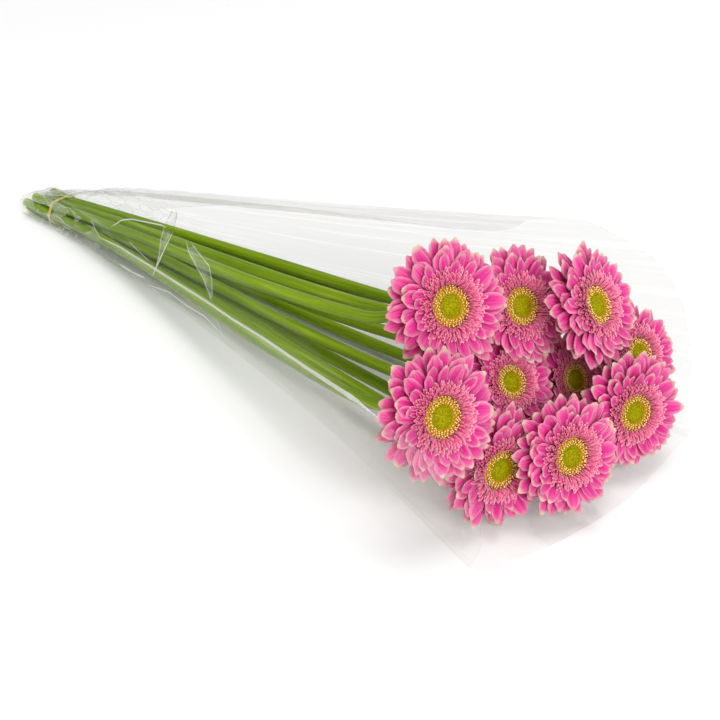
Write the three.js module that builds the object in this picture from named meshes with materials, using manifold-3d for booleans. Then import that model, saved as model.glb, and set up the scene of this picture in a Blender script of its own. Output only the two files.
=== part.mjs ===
// A florist's bunch of ten mini gerberas lying on its side, tied with a rubber band near the cut
// ends, in a cone of clear film. Millimetres. +X runs from the cut ends to the heads, +Z is up, the
// surface it lies on is z = 0. Each bloom is four bodies: stem with its cup of bracts, whorls of ray
// florets, fringe of short inner florets, and the eye.
import * as THREE from 'three';
import { mergeVertices } from 'three/addons/utils/BufferGeometryUtils.js';
import Module from 'manifold-3d';

const wasm = await Module();
wasm.setup();

const vec = (x, y, z) => new THREE.Vector3(x, y, z);
const DEGREE = Math.PI / 180;
const GAP = 0.3;

// The row's origin: the middle of the whole bunch's box, on the surface.
const ORIGIN = vec(-240.5, 19.5, 0);

// ---- the ten heads: eye centre, facing (azimuth from +X, elevation), ray length ----
// base: place in the tied bundle, as steps across and rows up; way: where the stem passes behind the
// heads; cut: how far the cut end stands out past the shortest one.
const HEADS = [
  {
    at: [-40, -15, 129], azimuth: -19, elevation: 30, radius: 44.5,
    base: [-1, 2], way: [-105, -18, 96], cut: 12,
  },
  {
    at: [-3, -71, 93], azimuth: -16, elevation: 24, radius: 44,
    base: [-1.5, 1], way: [-80, -60, 65], cut: 22,
  },
  {
    at: [16, 72, 110], azimuth: 1, elevation: 35, radius: 43,
    base: [0.5, 1], way: [-60, 46, 52], cut: 6,
  },
  {
    at: [58, 65, 47], azimuth: -23, elevation: 20, radius: 41.5,
    base: [1.5, 1], way: [-6, 97, 27], cut: 9,
  },
  {
    at: [50, -2, 47], azimuth: -20, elevation: 24, radius: 41.5,
    base: [0, 0], way: [-6, 5, 24], cut: 3,
  },
  {
    at: [20, -37, 43], azimuth: -20, elevation: 15, radius: 42.5,
    base: [-1, 0], way: [-60, -18, 29], cut: 25,
  },
  {
    at: [-22, 41, 109], azimuth: -16, elevation: 32, radius: 42.5,
    base: [0, 2], way: [-90, 30, 76], cut: 5,
  },
  {
    at: [-8, 13, 69], azimuth: -13, elevation: 38, radius: 37.5,
    base: [-0.5, 1], way: [-70, 9, 40], cut: 10,
  },
  {
    at: [35, 107, 61], azimuth: -11, elevation: 33, radius: 38,
    base: [1, 2], way: [-40, 106, 39], cut: 7,
  },
  {
    at: [8, 70, 47], azimuth: -13, elevation: 34, radius: 37,
    base: [1, 0], way: [-50, 66, 15], cut: 4,
  },
];

// ---- stems and tie ----
const STEM_BASE_RADIUS = 3.9;
const STEM_NECK_RADIUS = 3.4;
// A stem is this much stouter midway; the swell begins past the tie, at SWELL_START of its line.
const STEM_SWELL = 1;
const SWELL_START = 0.12;
// How much of a stem's way out of the tie points straight at its way point.
const LEAVE_STRAIGHT = 0.6;
const STEM_SIDES = 6;
const STEM_STEPS = 12;
const BUNDLE_CENTRE_Y = 40;
const BUNDLE_PITCH = 8.2;
const BUNDLE_ROW = 7.2;
const BUNDLE_BOTTOM = 6.2;
const CUT_END_X = -534;
// Past the band the stems run straight this far, and TIED_SHARE of each line lies before that.
const TIED_LENGTH = 6;
const TIED_SHARE = 0.06;
const CUP_RADIUS = 9.5;
const CUP_DEPTH = 12;
const CUP_TOP = -5;
const BAND_X = -516;
const BAND_WIDTH = 3;
const BAND_THICKNESS = 0.9;
const ARC_SAG = 0.15;
// The bundle's outermost stems, round it, as steps across and rows up.
const BUNDLE_CORNERS = [[-1, 0], [1, 0], [1.5, 1], [1, 2], [-1, 2], [-1.5, 1]];

// ---- blooms, as shares of the ray length R unless in mm ----
const RAYS_PER_WHORL = 11;
const RAY_WIDTH = 12;
const RAY_ROOT = 0.2;
const RAY_HINGE = 0.5;
const RAY_THICKNESS = 1;
const CORE_RADIUS = 0.3;
const CORE_TOP = 1.2;
const CORE_BOTTOM = -4.6;
const FRINGE_TEETH = 15;
const EYE_SIDES = 16;
const WHORLS = [
  { root: -2.2, reach: 1, rise: 1, turn: 0 },
  { root: -0.2, reach: 0.86, rise: 12, turn: 0.5 },
];
// Stations along a ray floret: share of its length, share of its width.
const RAY_STATIONS = [[0, 0.36], [0.4, 0.74], [0.8, 1], [1, 0.46]];
// A floret that would meet another bloom or a stem is bent by the first of these angles that clears it.
const BENDS = [0, 6, -6, 12, -12, 18, -18, 26, -26, 35, -35, -45, -58, -72];
const TOUCH = 1.9;
const LOWEST_PETAL = 2.4;

// ---- film sleeve ----
const FILM = 0.6;
const FILM_AROUND = 27;
const FILM_ALONG = 8;
const NARROW_X = -562;
const NARROW_HALF_WIDTH = 20;
const NARROW_HALF_HEIGHT = 15.5;
const SPREAD_POWER = 1.7;
// Where the near wall stops spreading and runs on straight past the blooms.
const NEAR_SIDE_Y = -118;
// One row for each guide line of the cone, round from the near floor corner: its start on the narrow
// ring as shares across and up, a point of it at the mouth, and how far along it the film reaches.
const GUIDES = [
  [-0.75, -1, [47, -78, 0], 1],
  [-0.4, -1, [55, -20, 0], 1],
  [0, -1, [62, 40, 0], 1],
  [0.4, -1, [70, 100, 0], 1],
  [0.75, -1, [75, 131, 0], 1],
  [1, -0.6, [60, 153, 27], 1],
  [1.05, -0.1, [52, 156, 57], 1],
  [1, 0.35, [43, 148, 92], 1],
  [0.8, 0.75, [25, 130, 126], 1],
  [0.45, 0.98, [-7, 96, 155], 1],
  [0.1, 1.05, [-30, 62, 165], 1],
  [-0.2, 1.05, [-48, 30, 162], 0.98],
  [-0.5, 0.95, [-60, -20, 178], 0.62],
  [-0.8, 0.7, [-60, -75, 150], 0.46],
  [-1, 0.3, [-48, -112, 106], 1.15],
  [-1.05, -0.1, [5, -118, 66], 1.1],
  [-1, -0.5, [32, -110, 38], 1.04],
  [-0.9, -0.85, [46, -94, 12], 1],
];

function mix(a, b, share) {
  return a + (b - a) * share;
}

// Park and Miller's draw, so that every run gives the same flowers.
function seeded(seed) {
  let state = seed;
  return () => {
    state = (state * 16807) % 2147483647;
    return state / 2147483647;
  };
}

// ---- closed bodies ----

// The cube-shaped sum under a mesh: negative when its faces point inwards.
function volumeOf(positions, index) {
  let sum = 0;
  const [a, b, c] = [vec(0, 0, 0), vec(0, 0, 0), vec(0, 0, 0)];
  for (let i = 0; i < index.length; i += 3) {
    a.fromArray(positions, 3 * index[i]);
    b.fromArray(positions, 3 * index[i + 1]);
    c.fromArray(positions, 3 * index[i + 2]);
    sum += a.dot(b.cross(c));
  }
  return sum / 6;
}

function closedGeometry(points, index) {
  const positions = points.flatMap((p) => [p.x, p.y, p.z]);
  if (volumeOf(positions, index) < 0) {
    for (let i = 0; i < index.length; i += 3) {
      [index[i + 1], index[i + 2]] = [index[i + 2], index[i + 1]];
    }
  }
  const geometry = new THREE.BufferGeometry();
  geometry.setAttribute('position', new THREE.Float32BufferAttribute(positions, 3));
  geometry.setIndex(index);
  return geometry;
}

// Skins rings of equally many points, in order; closed loops join the last ring to the first, and an
// open row of rings is capped, by a fan from the given middle point or from the ring's own first one.
function loft(rings, { loop = false, startMiddle = null, endMiddle = null } = {}) {
  const around = rings[0].length;
  const points = rings.flat();
  const index = [];
  const spans = loop ? rings.length : rings.length - 1;
  for (let i = 0; i < spans; i += 1) {
    const low = i * around;
    const high = ((i + 1) % rings.length) * around;
    for (let k = 0; k < around; k += 1) {
      const next = (k + 1) % around;
      index.push(low + k, low + next, high + next, low + k, high + next, high + k);
    }
  }
  if (!loop) {
    cap(points, index, 0, around, startMiddle, true);
    cap(points, index, (rings.length - 1) * around, around, endMiddle, false);
  }
  return closedGeometry(points, index);
}

function cap(points, index, start, around, middle, backwards) {
  const fan = (a, b, c) => index.push(...(backwards ? [a, c, b] : [a, b, c]));
  if (middle) {
    points.push(middle);
    for (let k = 0; k < around; k += 1) {
      fan(points.length - 1, start + k, start + ((k + 1) % around));
    }
    return;
  }
  for (let k = 1; k < around - 1; k += 1) {
    fan(start, start + k, start + k + 1);
  }
}

function solidOf(geometry) {
  geometry.deleteAttribute('normal');
  geometry.deleteAttribute('uv');
  const merged = mergeVertices(geometry, 1e-4);
  return new wasm.Manifold(new wasm.Mesh({
    numProp: 3,
    vertProperties: new Float32Array(merged.attributes.position.array),
    triVerts: new Uint32Array(merged.index.array),
  }));
}

function geometryOf(solid) {
  const mesh = solid.getMesh();
  const geometry = new THREE.BufferGeometry();
  geometry.setAttribute('position', new THREE.Float32BufferAttribute(mesh.vertProperties, 3));
  geometry.setIndex([...mesh.triVerts]);
  return geometry;
}

// ---- a head's own frame ----

function headFrame(head) {
  const azimuth = head.azimuth * DEGREE;
  const elevation = head.elevation * DEGREE;
  const facing = vec(
    Math.cos(azimuth) * Math.cos(elevation),
    Math.sin(azimuth) * Math.cos(elevation),
    Math.sin(elevation),
  );
  const side = vec(0, 0, 1).cross(facing).normalize();
  const up = facing.clone().cross(side);
  return { centre: vec(...head.at), facing, side, up };
}

// A point given by radius and turn about the facing axis, and height along it.
function onHead(frame, radius, turn, height) {
  return frame.centre.clone()
    .addScaledVector(frame.side, radius * Math.cos(turn))
    .addScaledVector(frame.up, radius * Math.sin(turn))
    .addScaledVector(frame.facing, height);
}

function headRing(frame, count, shape) {
  return Array.from({ length: count }, (_, k) => {
    const [radius, height] = shape(k);
    return onHead(frame, radius, (k / count) * 2 * Math.PI, height);
  });
}

// ---- stems ----

function hermite(start, startPull, end, endPull, share) {
  const s2 = share * share;
  const s3 = s2 * share;
  return start.clone().multiplyScalar(2 * s3 - 3 * s2 + 1)
    .addScaledVector(startPull, s3 - 2 * s2 + share)
    .addScaledVector(end, -2 * s3 + 3 * s2)
    .addScaledVector(endPull, s3 - s2);
}

function bundlePlace(x, across, row) {
  return vec(x, BUNDLE_CENTRE_Y + across * BUNDLE_PITCH, BUNDLE_BOTTOM + row * BUNDLE_ROW);
}

// The stem's middle line, from the cut end past its way point to the cup behind the head.
function stemLine(head, frame) {
  const start = bundlePlace(CUT_END_X - head.cut, ...head.base);
  const tied = bundlePlace(BAND_X + TIED_LENGTH, ...head.base);
  const way = vec(...head.way);
  const neck = onHead(frame, 0, 0, CUP_TOP - CUP_DEPTH);
  const first = way.distanceTo(tied);
  const second = neck.distanceTo(way);
  const wayward = way.clone().sub(tied).multiplyScalar(0.8 / first)
    .addScaledVector(neck.clone().sub(way), 0.2 / second).normalize();
  const leave = vec(1, 0.08, 0.1).multiplyScalar(first)
    .lerp(way.clone().sub(tied), LEAVE_STRAIGHT);
  return (share) => {
    const wayShare = 1 - second / (first + second);
    if (share < TIED_SHARE) {
      return start.clone().lerp(tied, share / TIED_SHARE);
    }
    if (share < wayShare) {
      const part = (share - TIED_SHARE) / (wayShare - TIED_SHARE);
      return hermite(tied, leave, way, wayward.clone().multiplyScalar(first), part);
    }
    const part = (share - wayShare) / (1 - wayShare);
    const arrive = frame.facing.clone().multiplyScalar(second);
    return hermite(way, wayward.clone().multiplyScalar(second), neck, arrive, part);
  };
}

function ringRound(middle, along, radius, count) {
  const side = vec(0, 0, 1).cross(along).normalize();
  const up = along.clone().cross(side).normalize();
  return Array.from({ length: count }, (_, k) => {
    const turn = (k / count) * 2 * Math.PI;
    return middle.clone()
      .addScaledVector(side, radius * Math.cos(turn))
      .addScaledVector(up, radius * Math.sin(turn));
  });
}

// Shares along the line: two at the tied, straight end, the rest crowding to the bend at the neck.
function stemShares() {
  const shares = [0, TIED_SHARE];
  for (let i = 1; i <= STEM_STEPS; i += 1) {
    shares.push(mix(TIED_SHARE, 1, Math.pow(i / STEM_STEPS, 0.75)));
  }
  return shares;
}

function stemGeometry(head, frame) {
  const line = stemLine(head, frame);
  const small = 0.002;
  const rings = stemShares().map((share) => {
    const low = Math.max(0, share - small);
    const high = Math.min(1, share + small);
    const along = share > 1 - small ? frame.facing.clone() : line(high).sub(line(low)).normalize();
    const swell = Math.sin(Math.PI * Math.max(0, (share - SWELL_START) / (1 - SWELL_START)));
    const radius = mix(STEM_BASE_RADIUS, STEM_NECK_RADIUS, share) + STEM_SWELL * swell;
    return ringRound(line(share), along, radius, STEM_SIDES);
  });
  const cupRing = (radius, height, notch) => Array.from({ length: STEM_SIDES }, (_, k) => {
    const turn = (k / STEM_SIDES) * 2 * Math.PI;
    const cut = k % 2 === 0 ? 0 : notch;
    return onHead(frame, radius - cut, turn, height - cut);
  });
  rings.push(cupRing(CUP_RADIUS * 0.82, CUP_TOP - CUP_DEPTH * 0.6, 0));
  rings.push(cupRing(CUP_RADIUS, CUP_TOP, 1.2));
  return loft(rings);
}

// ---- ray florets ----

// One floret's middle line: flat to the hinge under the fringe, then bent and slightly arched.
function rayLine(ray, share) {
  const hinge = (RAY_HINGE - RAY_ROOT) / (1 - RAY_ROOT);
  const rise = ray.rise * DEGREE;
  const length = ray.length;
  const flat = Math.min(share, hinge) * length;
  const free = Math.max(0, share - hinge) * length;
  const whole = (1 - hinge) * length;
  const bend = rise + ray.bend * DEGREE;
  const arch = ray.arch * DEGREE * (free / whole);
  return {
    radius: ray.from + flat * Math.cos(rise) + free * Math.cos(bend + arch / 2),
    height: ray.root + flat * Math.sin(rise) + free * Math.sin(bend + arch / 2),
    tilt: share < hinge ? rise : bend + arch,
  };
}

// The cross-section at a station: both edges, the lower channel between them, and the keel below.
function raySection(frame, ray, [share, width]) {
  const { radius, height, tilt } = rayLine(ray, share);
  const half = (ray.width / 2) * width;
  const channel = 0.14 * half;
  const place = (across, lift) => {
    const out = radius - lift * Math.sin(tilt);
    const turn = ray.turn + Math.atan2(across, out);
    return onHead(frame, Math.hypot(out, across), turn, height + lift * Math.cos(tilt));
  };
  const thick = RAY_THICKNESS * mix(1, 0.7, share);
  return [place(-half, channel), place(0, 0), place(half, channel), place(0, -thick)];
}

function rayGeometry(frame, ray) {
  return loft(RAY_STATIONS.map((station) => raySection(frame, ray, station)));
}

// The places on a floret that must stay clear of other blooms and stems.
function rayFeelers(frame, ray) {
  const shares = [0.42, 0.56, 0.7, 0.84, 0.95];
  return shares.flatMap((share) => {
    const wide = share < 0.72 ? mix(0.74, 1, (share - 0.38) / 0.34) : mix(1, 0.7, (share - 0.72) / 0.23);
    const section = raySection(frame, ray, [share, wide]);
    return [section[0], section[1], section[2]];
  });
}

function drawRays(head, seed) {
  const draw = seeded(seed);
  const rays = [];
  for (const whorl of WHORLS) {
    for (let k = 0; k < RAYS_PER_WHORL; k += 1) {
      const from = RAY_ROOT * head.radius;
      rays.push({
        turn: ((k + whorl.turn + 0.16 * (draw() - 0.5)) / RAYS_PER_WHORL) * 2 * Math.PI,
        length: (whorl.reach * mix(0.94, 1.04, draw()) - RAY_ROOT) * head.radius,
        rise: whorl.rise + mix(-2, 2, draw()),
        arch: mix(-16, 6, draw()),
        width: RAY_WIDTH * mix(0.9, 1.02, draw()) * (head.radius / 41),
        bend: 0,
        from,
        root: whorl.root,
      });
    }
  }
  return rays;
}

// Balls that stand for a head's middle and for a stem while florets are bent clear.
function headBalls(head, frame) {
  const balls = [{ at: onHead(frame, 0, 0, 0), size: 0.28 * head.radius }];
  balls.push({ at: onHead(frame, 0, 0, -9), size: 8.5 });
  for (let k = 0; k < 12; k += 1) {
    balls.push({ at: onHead(frame, 0.4 * head.radius, (k / 12) * 2 * Math.PI, 3.5), size: 5 });
  }
  return balls;
}

function stemBalls(head, frame) {
  const line = stemLine(head, frame);
  const balls = [];
  for (let share = 0.6; share <= 1; share += 0.008) {
    balls.push({ at: line(share), size: STEM_BASE_RADIUS + 0.6 });
  }
  return balls;
}

function clears(feelers, balls) {
  return feelers.every((p) => p.z > LOWEST_PETAL
    && balls.every((ball) => p.distanceTo(ball.at) > ball.size + TOUCH));
}

// Bends each floret clear of everything placed before it; one that nothing clears is left out.
function settleRays(head, frame, rays, balls) {
  const reach = head.radius * 1.3;
  const near = balls.filter((ball) => ball.at.distanceTo(frame.centre) < reach + ball.size);
  return rays.filter((ray) => BENDS.some((bend) => {
    ray.bend = bend;
    return clears(rayFeelers(frame, ray), near);
  }));
}

function coreSolid(head, frame) {
  const sides = 8;
  const core = CORE_RADIUS * head.radius;
  const ring = (radius, height) => headRing(frame, sides, () => [radius, height]);
  return solidOf(loft([
    ring(core * 0.85, CORE_BOTTOM), ring(core, -2), ring(core * 0.9, CORE_TOP),
  ]));
}

function raysGeometry(head, frame, rays) {
  const florets = rays.map((ray) => solidOf(rayGeometry(frame, ray)));
  return geometryOf(wasm.Manifold.union([coreSolid(head, frame), ...florets]).simplify(0.03));
}

// ---- fringe and eye ----

// A bowl-shaped ring with two tiers of teeth, for the rows of short inner florets.
function fringeGeometry(head, frame) {
  const r = head.radius;
  const tooth = (k, shift) => (k + shift) % 2 === 0;
  return loft([
    headRing(frame, FRINGE_TEETH * 2, () => [0.3 * r, 2.3]),
    headRing(frame, FRINGE_TEETH * 2, (k) => (tooth(k, 0) ? [0.52 * r, 6.4] : [0.45 * r, 5])),
    headRing(frame, FRINGE_TEETH * 2, () => [0.43 * r, 7]),
    headRing(frame, FRINGE_TEETH * 2, (k) => (tooth(k, 1) ? [0.385 * r, 8.6] : [0.365 * r, 6.2])),
  ], { loop: true });
}

// The disc of buds and the ring of anthers round it, as relief.
function eyeGeometry(head, frame) {
  const r = head.radius;
  const tooth = (k) => k % 2 === 0;
  return loft([
    headRing(frame, EYE_SIDES, () => [0.26 * r, CORE_TOP + GAP + 0.1]),
    headRing(frame, EYE_SIDES, (k) => (tooth(k) ? [0.285 * r, 4.4] : [0.27 * r, 3.2])),
    headRing(frame, EYE_SIDES, (k) => (tooth(k) ? [0.22 * r, 4.2] : [0.23 * r, 5.6])),
    headRing(frame, EYE_SIDES, () => [0.17 * r, 3.4]),
    headRing(frame, EYE_SIDES, () => [0.09 * r, 4.4]),
  ], { startMiddle: onHead(frame, 0, 0, CORE_TOP + GAP + 0.1), endMiddle: onHead(frame, 0, 0, 4.7) });
}

// ---- band and film ----

// The tied bundle's outline: an arc round each of its six corner stems.
function bundleOutline(x, grow) {
  const corners = BUNDLE_CORNERS.map(([across, row]) => bundlePlace(x, across, row));
  const radius = STEM_BASE_RADIUS + grow;
  return corners.flatMap((corner, k) => {
    const before = corners[(k + corners.length - 1) % corners.length];
    const after = corners[(k + 1) % corners.length];
    const edgeTurn = (from, to) => Math.atan2(to.z - from.z, to.y - from.y) - Math.PI / 2;
    const first = edgeTurn(before, corner);
    const last = first + (edgeTurn(corner, after) - first + 2 * Math.PI) % (2 * Math.PI);
    return [0, 0.5, 1].map((share) => {
      const turn = mix(first, last, share);
      return vec(x, corner.y + radius * Math.cos(turn), corner.z + radius * Math.sin(turn));
    });
  });
}

function bandGeometry() {
  const near = BAND_X - BAND_WIDTH / 2;
  const far = BAND_X + BAND_WIDTH / 2;
  const inside = GAP + ARC_SAG;
  const outside = inside + BAND_THICKNESS;
  return loft([
    bundleOutline(near, inside), bundleOutline(far, inside),
    bundleOutline(far, outside), bundleOutline(near, outside),
  ], { loop: true });
}

// A smooth closed run through the guide rows: share 0 to 1 goes once round.
function guideAt(share) {
  const count = GUIDES.length;
  const place = share * count;
  const first = Math.floor(place);
  const s = place - first;
  const rows = [-1, 0, 1, 2].map((step) => GUIDES[(first + step + count) % count]);
  const smooth = (pick) => {
    const [a, b, c, d] = rows.map(pick);
    return 0.5 * (2 * b + (c - a) * s + (2 * a - 5 * b + 4 * c - d) * s * s
      + (3 * b - a - 3 * c + d) * s * s * s);
  };
  const across = smooth((row) => row[0]);
  const rise = Math.max(-1, smooth((row) => row[1]));
  const end = vec(smooth((row) => row[2][0]), smooth((row) => row[2][1]), smooth((row) => row[2][2]));
  end.z = Math.max(0, end.z);
  return {
    start: vec(
      NARROW_X,
      BUNDLE_CENTRE_Y + across * NARROW_HALF_WIDTH,
      NARROW_HALF_HEIGHT * (1 + rise),
    ),
    end,
    reach: smooth((row) => row[3]),
  };
}

function filmPoint(around, along) {
  const { start, end, reach } = guideAt(around);
  const share = along * reach;
  return vec(
    mix(start.x, end.x, share),
    Math.max(NEAR_SIDE_Y, mix(start.y, end.y, Math.pow(share, SPREAD_POWER))),
    mix(start.z, end.z, share),
  );
}

// The film's inner face: the outer point moved in, square to the film and flat on the floor panel.
function filmInner(around, along) {
  const step = 0.004;
  const here = filmPoint(around, along);
  const across = filmPoint((around + step) % 1, along).sub(filmPoint((around - step + 1) % 1, along));
  const { start, end } = guideAt(around);
  const down = end.clone().sub(start);
  const inward = down.cross(across).normalize();
  if (here.z < 1e-6) {
    inward.set(0, 0, 1);
  }
  return here.addScaledVector(inward, FILM);
}

function filmGeometry() {
  const ring = (face, along) => Array.from({ length: FILM_AROUND }, (_, k) => face(k / FILM_AROUND, along));
  const steps = Array.from({ length: FILM_ALONG + 1 }, (_, i) => i / FILM_ALONG);
  const outer = steps.map((along) => ring(filmPoint, along));
  const inner = steps.map((along) => ring(filmInner, along)).reverse();
  return loft([...outer, ...inner], { loop: true });
}

// ---- the bunch ----

const bunch = new THREE.Group();

function addPart(name, geometry, colour, roughness, metalness = 0) {
  const material = new THREE.MeshStandardMaterial({ color: colour, roughness, metalness });
  const mesh = new THREE.Mesh(geometry, material);
  mesh.name = name;
  mesh.position.copy(ORIGIN).negate();
  bunch.add(mesh);
}

const frames = HEADS.map(headFrame);
const balls = [];
HEADS.forEach((head, i) => balls.push(
  ...headBalls(head, frames[i]).map((ball) => ({ ...ball, owner: i })),
  ...stemBalls(head, frames[i]).map((ball) => ({ ...ball, owner: i })),
));

HEADS.forEach((head, i) => {
  const frame = frames[i];
  const others = balls.filter((ball) => ball.owner !== i);
  const rays = settleRays(head, frame, drawRays(head, 11 + 7 * i), others);
  for (const ray of rays) {
    balls.push(...rayFeelers(frame, ray).map((at) => ({ at, size: TOUCH, owner: i })));
  }
  const label = String(i + 1).padStart(2, '0');
  addPart(`stem_${label}`, stemGeometry(head, frame), 0x6f9a35, 0.55);
  addPart(`rays_${label}`, raysGeometry(head, frame, rays), 0xe0529c, 0.6);
  addPart(`fringe_${label}`, fringeGeometry(head, frame), 0xcf6f86, 0.7);
  addPart(`eye_${label}`, eyeGeometry(head, frame), 0xb3b62a, 0.75);
});
addPart('rubber_band', bandGeometry(), 0xc9a45a, 0.6);
addPart('film_sleeve', filmGeometry(), 0xf2f4f2, 0.15);

export default bunch;
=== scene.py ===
"""A florist's bunch of ten cut mini gerberas in a clear film sleeve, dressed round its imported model.

Shapes are worked out in millimetres in the frame of the part's source, and become metres in the row
frame when a mesh is made. Heads, stems, florets and film repeat the named values and seeded draws of
the solids that they stand for, so that each fine piece lies where its solid does.
"""

import math

import bpy
import numpy as np
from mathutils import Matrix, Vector, kdtree
from mathutils.bvhtree import BVHTree


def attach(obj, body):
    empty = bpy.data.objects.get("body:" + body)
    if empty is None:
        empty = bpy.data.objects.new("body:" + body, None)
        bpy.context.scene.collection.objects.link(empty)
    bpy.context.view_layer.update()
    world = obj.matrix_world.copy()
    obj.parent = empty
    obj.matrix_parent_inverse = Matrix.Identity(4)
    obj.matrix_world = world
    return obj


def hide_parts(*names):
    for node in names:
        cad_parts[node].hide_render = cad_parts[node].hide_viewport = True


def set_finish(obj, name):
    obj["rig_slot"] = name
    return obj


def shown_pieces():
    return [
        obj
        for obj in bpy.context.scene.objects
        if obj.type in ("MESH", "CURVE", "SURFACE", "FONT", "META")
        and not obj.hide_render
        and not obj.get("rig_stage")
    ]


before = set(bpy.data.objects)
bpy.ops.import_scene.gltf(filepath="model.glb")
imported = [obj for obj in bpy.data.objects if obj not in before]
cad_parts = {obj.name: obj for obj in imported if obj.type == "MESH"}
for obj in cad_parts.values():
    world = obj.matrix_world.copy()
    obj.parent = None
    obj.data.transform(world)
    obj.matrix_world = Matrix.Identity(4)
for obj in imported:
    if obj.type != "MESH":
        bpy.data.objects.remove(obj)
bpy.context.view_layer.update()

bl_info = {
    "name": "Gerbera Bunch",
    "version": (1, 0, 0),
    "blender": (4, 5, 0),
    "location": "View3D > Sidebar > Gerbera",
    "description": "Ten cut mini gerberas with fine florets, hairy stems and a clear film sleeve",
    "category": "Add Mesh",
}

MM = 0.001
ORIGIN = np.array([-240.5, 19.5, 0.0])
GOLDEN_TURN = math.pi * (3 - math.sqrt(5))

# ---- the ten heads: eye centre, facing, ray length; place in the tied bundle, way point and cut ----
HEADS = [
    {"at": (-40, -15, 129), "azimuth": -19, "elevation": 30, "radius": 44.5,
     "base": (-1, 2), "way": (-105, -18, 96), "cut": 12},
    {"at": (-3, -71, 93), "azimuth": -16, "elevation": 24, "radius": 44,
     "base": (-1.5, 1), "way": (-80, -60, 65), "cut": 22},
    {"at": (16, 72, 110), "azimuth": 1, "elevation": 35, "radius": 43,
     "base": (0.5, 1), "way": (-60, 46, 52), "cut": 6},
    {"at": (58, 65, 47), "azimuth": -23, "elevation": 20, "radius": 41.5,
     "base": (1.5, 1), "way": (-6, 97, 27), "cut": 9},
    {"at": (50, -2, 47), "azimuth": -20, "elevation": 24, "radius": 41.5,
     "base": (0, 0), "way": (-6, 5, 24), "cut": 3},
    {"at": (20, -37, 43), "azimuth": -20, "elevation": 15, "radius": 42.5,
     "base": (-1, 0), "way": (-60, -18, 29), "cut": 25},
    {"at": (-22, 41, 109), "azimuth": -16, "elevation": 32, "radius": 42.5,
     "base": (0, 2), "way": (-90, 30, 76), "cut": 5},
    {"at": (-8, 13, 69), "azimuth": -13, "elevation": 38, "radius": 37.5,
     "base": (-0.5, 1), "way": (-70, 9, 40), "cut": 10},
    {"at": (35, 107, 61), "azimuth": -11, "elevation": 33, "radius": 38,
     "base": (1, 2), "way": (-40, 106, 39), "cut": 7},
    {"at": (8, 70, 47), "azimuth": -13, "elevation": 34, "radius": 37,
     "base": (1, 0), "way": (-50, 66, 15), "cut": 4},
]

# ---- stems and tie, as in the part's source ----
BUNDLE_CENTRE_Y = 40
BUNDLE_PITCH = 8.2
BUNDLE_ROW = 7.2
BUNDLE_BOTTOM = 6.2
CUT_END_X = -534
TIED_LENGTH = 6
TIED_SHARE = 0.06
LEAVE_STRAIGHT = 0.6
SWELL_START = 0.12
CUP_DEPTH = 12
CUP_TOP = -5
SOLID_STEM_RADIUS = 3.9
BAND_X = -516
BAND_GAP = 0.45
BUNDLE_CORNERS = [(-1, 0), (1, 0), (1.5, 1), (1, 2), (-1, 2), (-1.5, 1)]

# The fine stems' own detail. The band is a cord in three turns: place along the bundle and skew in mm.
STEM_STEPS = 110
STEM_SIDES = 24
STEM_RIBS = 6
HAIRS_PER_STEM = 420
HAIR_RADIUS = 0.05
BAND_TURNS = [(-1.02, 0.05), (0.0, -0.06), (1.02, 0.04)]
BAND_CORD_RADIUS = 0.46
BAND_CORD_SIDES = 12

# ---- ray florets, as in the part's source ----
RAYS_PER_WHORL = 11
RAY_ROOT = 0.2
RAY_HINGE = 0.5
WIDTH_RADIUS = 41
# Bends in degrees, tried in this order, and the room in mm that a floret keeps from what it may touch.
BENDS = [0, 6, -6, 12, -12, 18, -18, 26, -26, 35, -35, -45, -58, -72]
TOUCH = 1.9
LOWEST_PETAL = 2.4
WHORLS = [
    {"root": -2.2, "reach": 1, "rise": 1, "turn": 0},
    {"root": -0.2, "reach": 0.86, "rise": 12, "turn": 0.5},
]
# Florets behind, between and above those of the solids.
BETWEEN_WHORLS = [
    {"root": -2.4, "reach": 0.97, "rise": -5, "turn": 0.5},
    {"root": -1.2, "reach": 0.96, "rise": 5, "turn": 0.25},
    {"root": 0.5, "reach": 0.88, "rise": 15, "turn": 0.75},
]
SHORT_RAYS = 17
# A fine blade's width as a share of its solid's, which stands for the two or three that overlap there.
BLADE_SHARE = 0.92
RAY_ROWS = 16
RAY_COLUMNS = 11
RAY_LINE_STEPS = 81
# Shares of a blade's length, and its width there as a share of the widest.
WIDTH_SHARES = (
    [0, 0.2, 0.4, 0.55, 0.68, 0.82, 0.93, 1],
    [0.4, 0.58, 0.82, 0.97, 1, 0.88, 0.62, 0.34],
)
# The receptacle's widest radius as a share of the ray length.
CORE_RADIUS = 0.3

# Rows of inner florets: root and tip as shares of the ray length with heights in mm, width in mm.
FRINGE_ROWS = [
    {"root": (0.345, 2.4), "tip": (0.53, 5.6), "width": 2.8, "count": 46, "uneven": 0.09},
    {"root": (0.335, 3.0), "tip": (0.5, 6.4), "width": 2.5, "count": 48, "uneven": 0.05},
    {"root": (0.325, 3.4), "tip": (0.475, 7.2), "width": 1.9, "count": 54},
    {"root": (0.32, 3.6), "tip": (0.44, 7.9), "width": 1.6, "count": 52},
    {"root": (0.31, 3.4), "tip": (0.405, 8.2), "width": 1.3, "count": 50},
    {"root": (0.305, 3.0), "tip": (0.37, 7.6), "width": 1.1, "count": 48},
    {"root": (0.3, 2.6), "tip": (0.335, 6.4), "width": 0.9, "count": 44},
]
ANTHER_ROWS = [
    {"radius": 0.2, "count": 26, "foot": 3.2, "height": 2.0},
    {"radius": 0.228, "count": 30, "foot": 3.2, "height": 2.7},
    {"radius": 0.256, "count": 32, "foot": 2.8, "height": 2.9},
    {"radius": 0.284, "count": 34, "foot": 2.2, "height": 2.6},
]
DISC_BUDS = 170
DISC_RADIUS = 0.18
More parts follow.
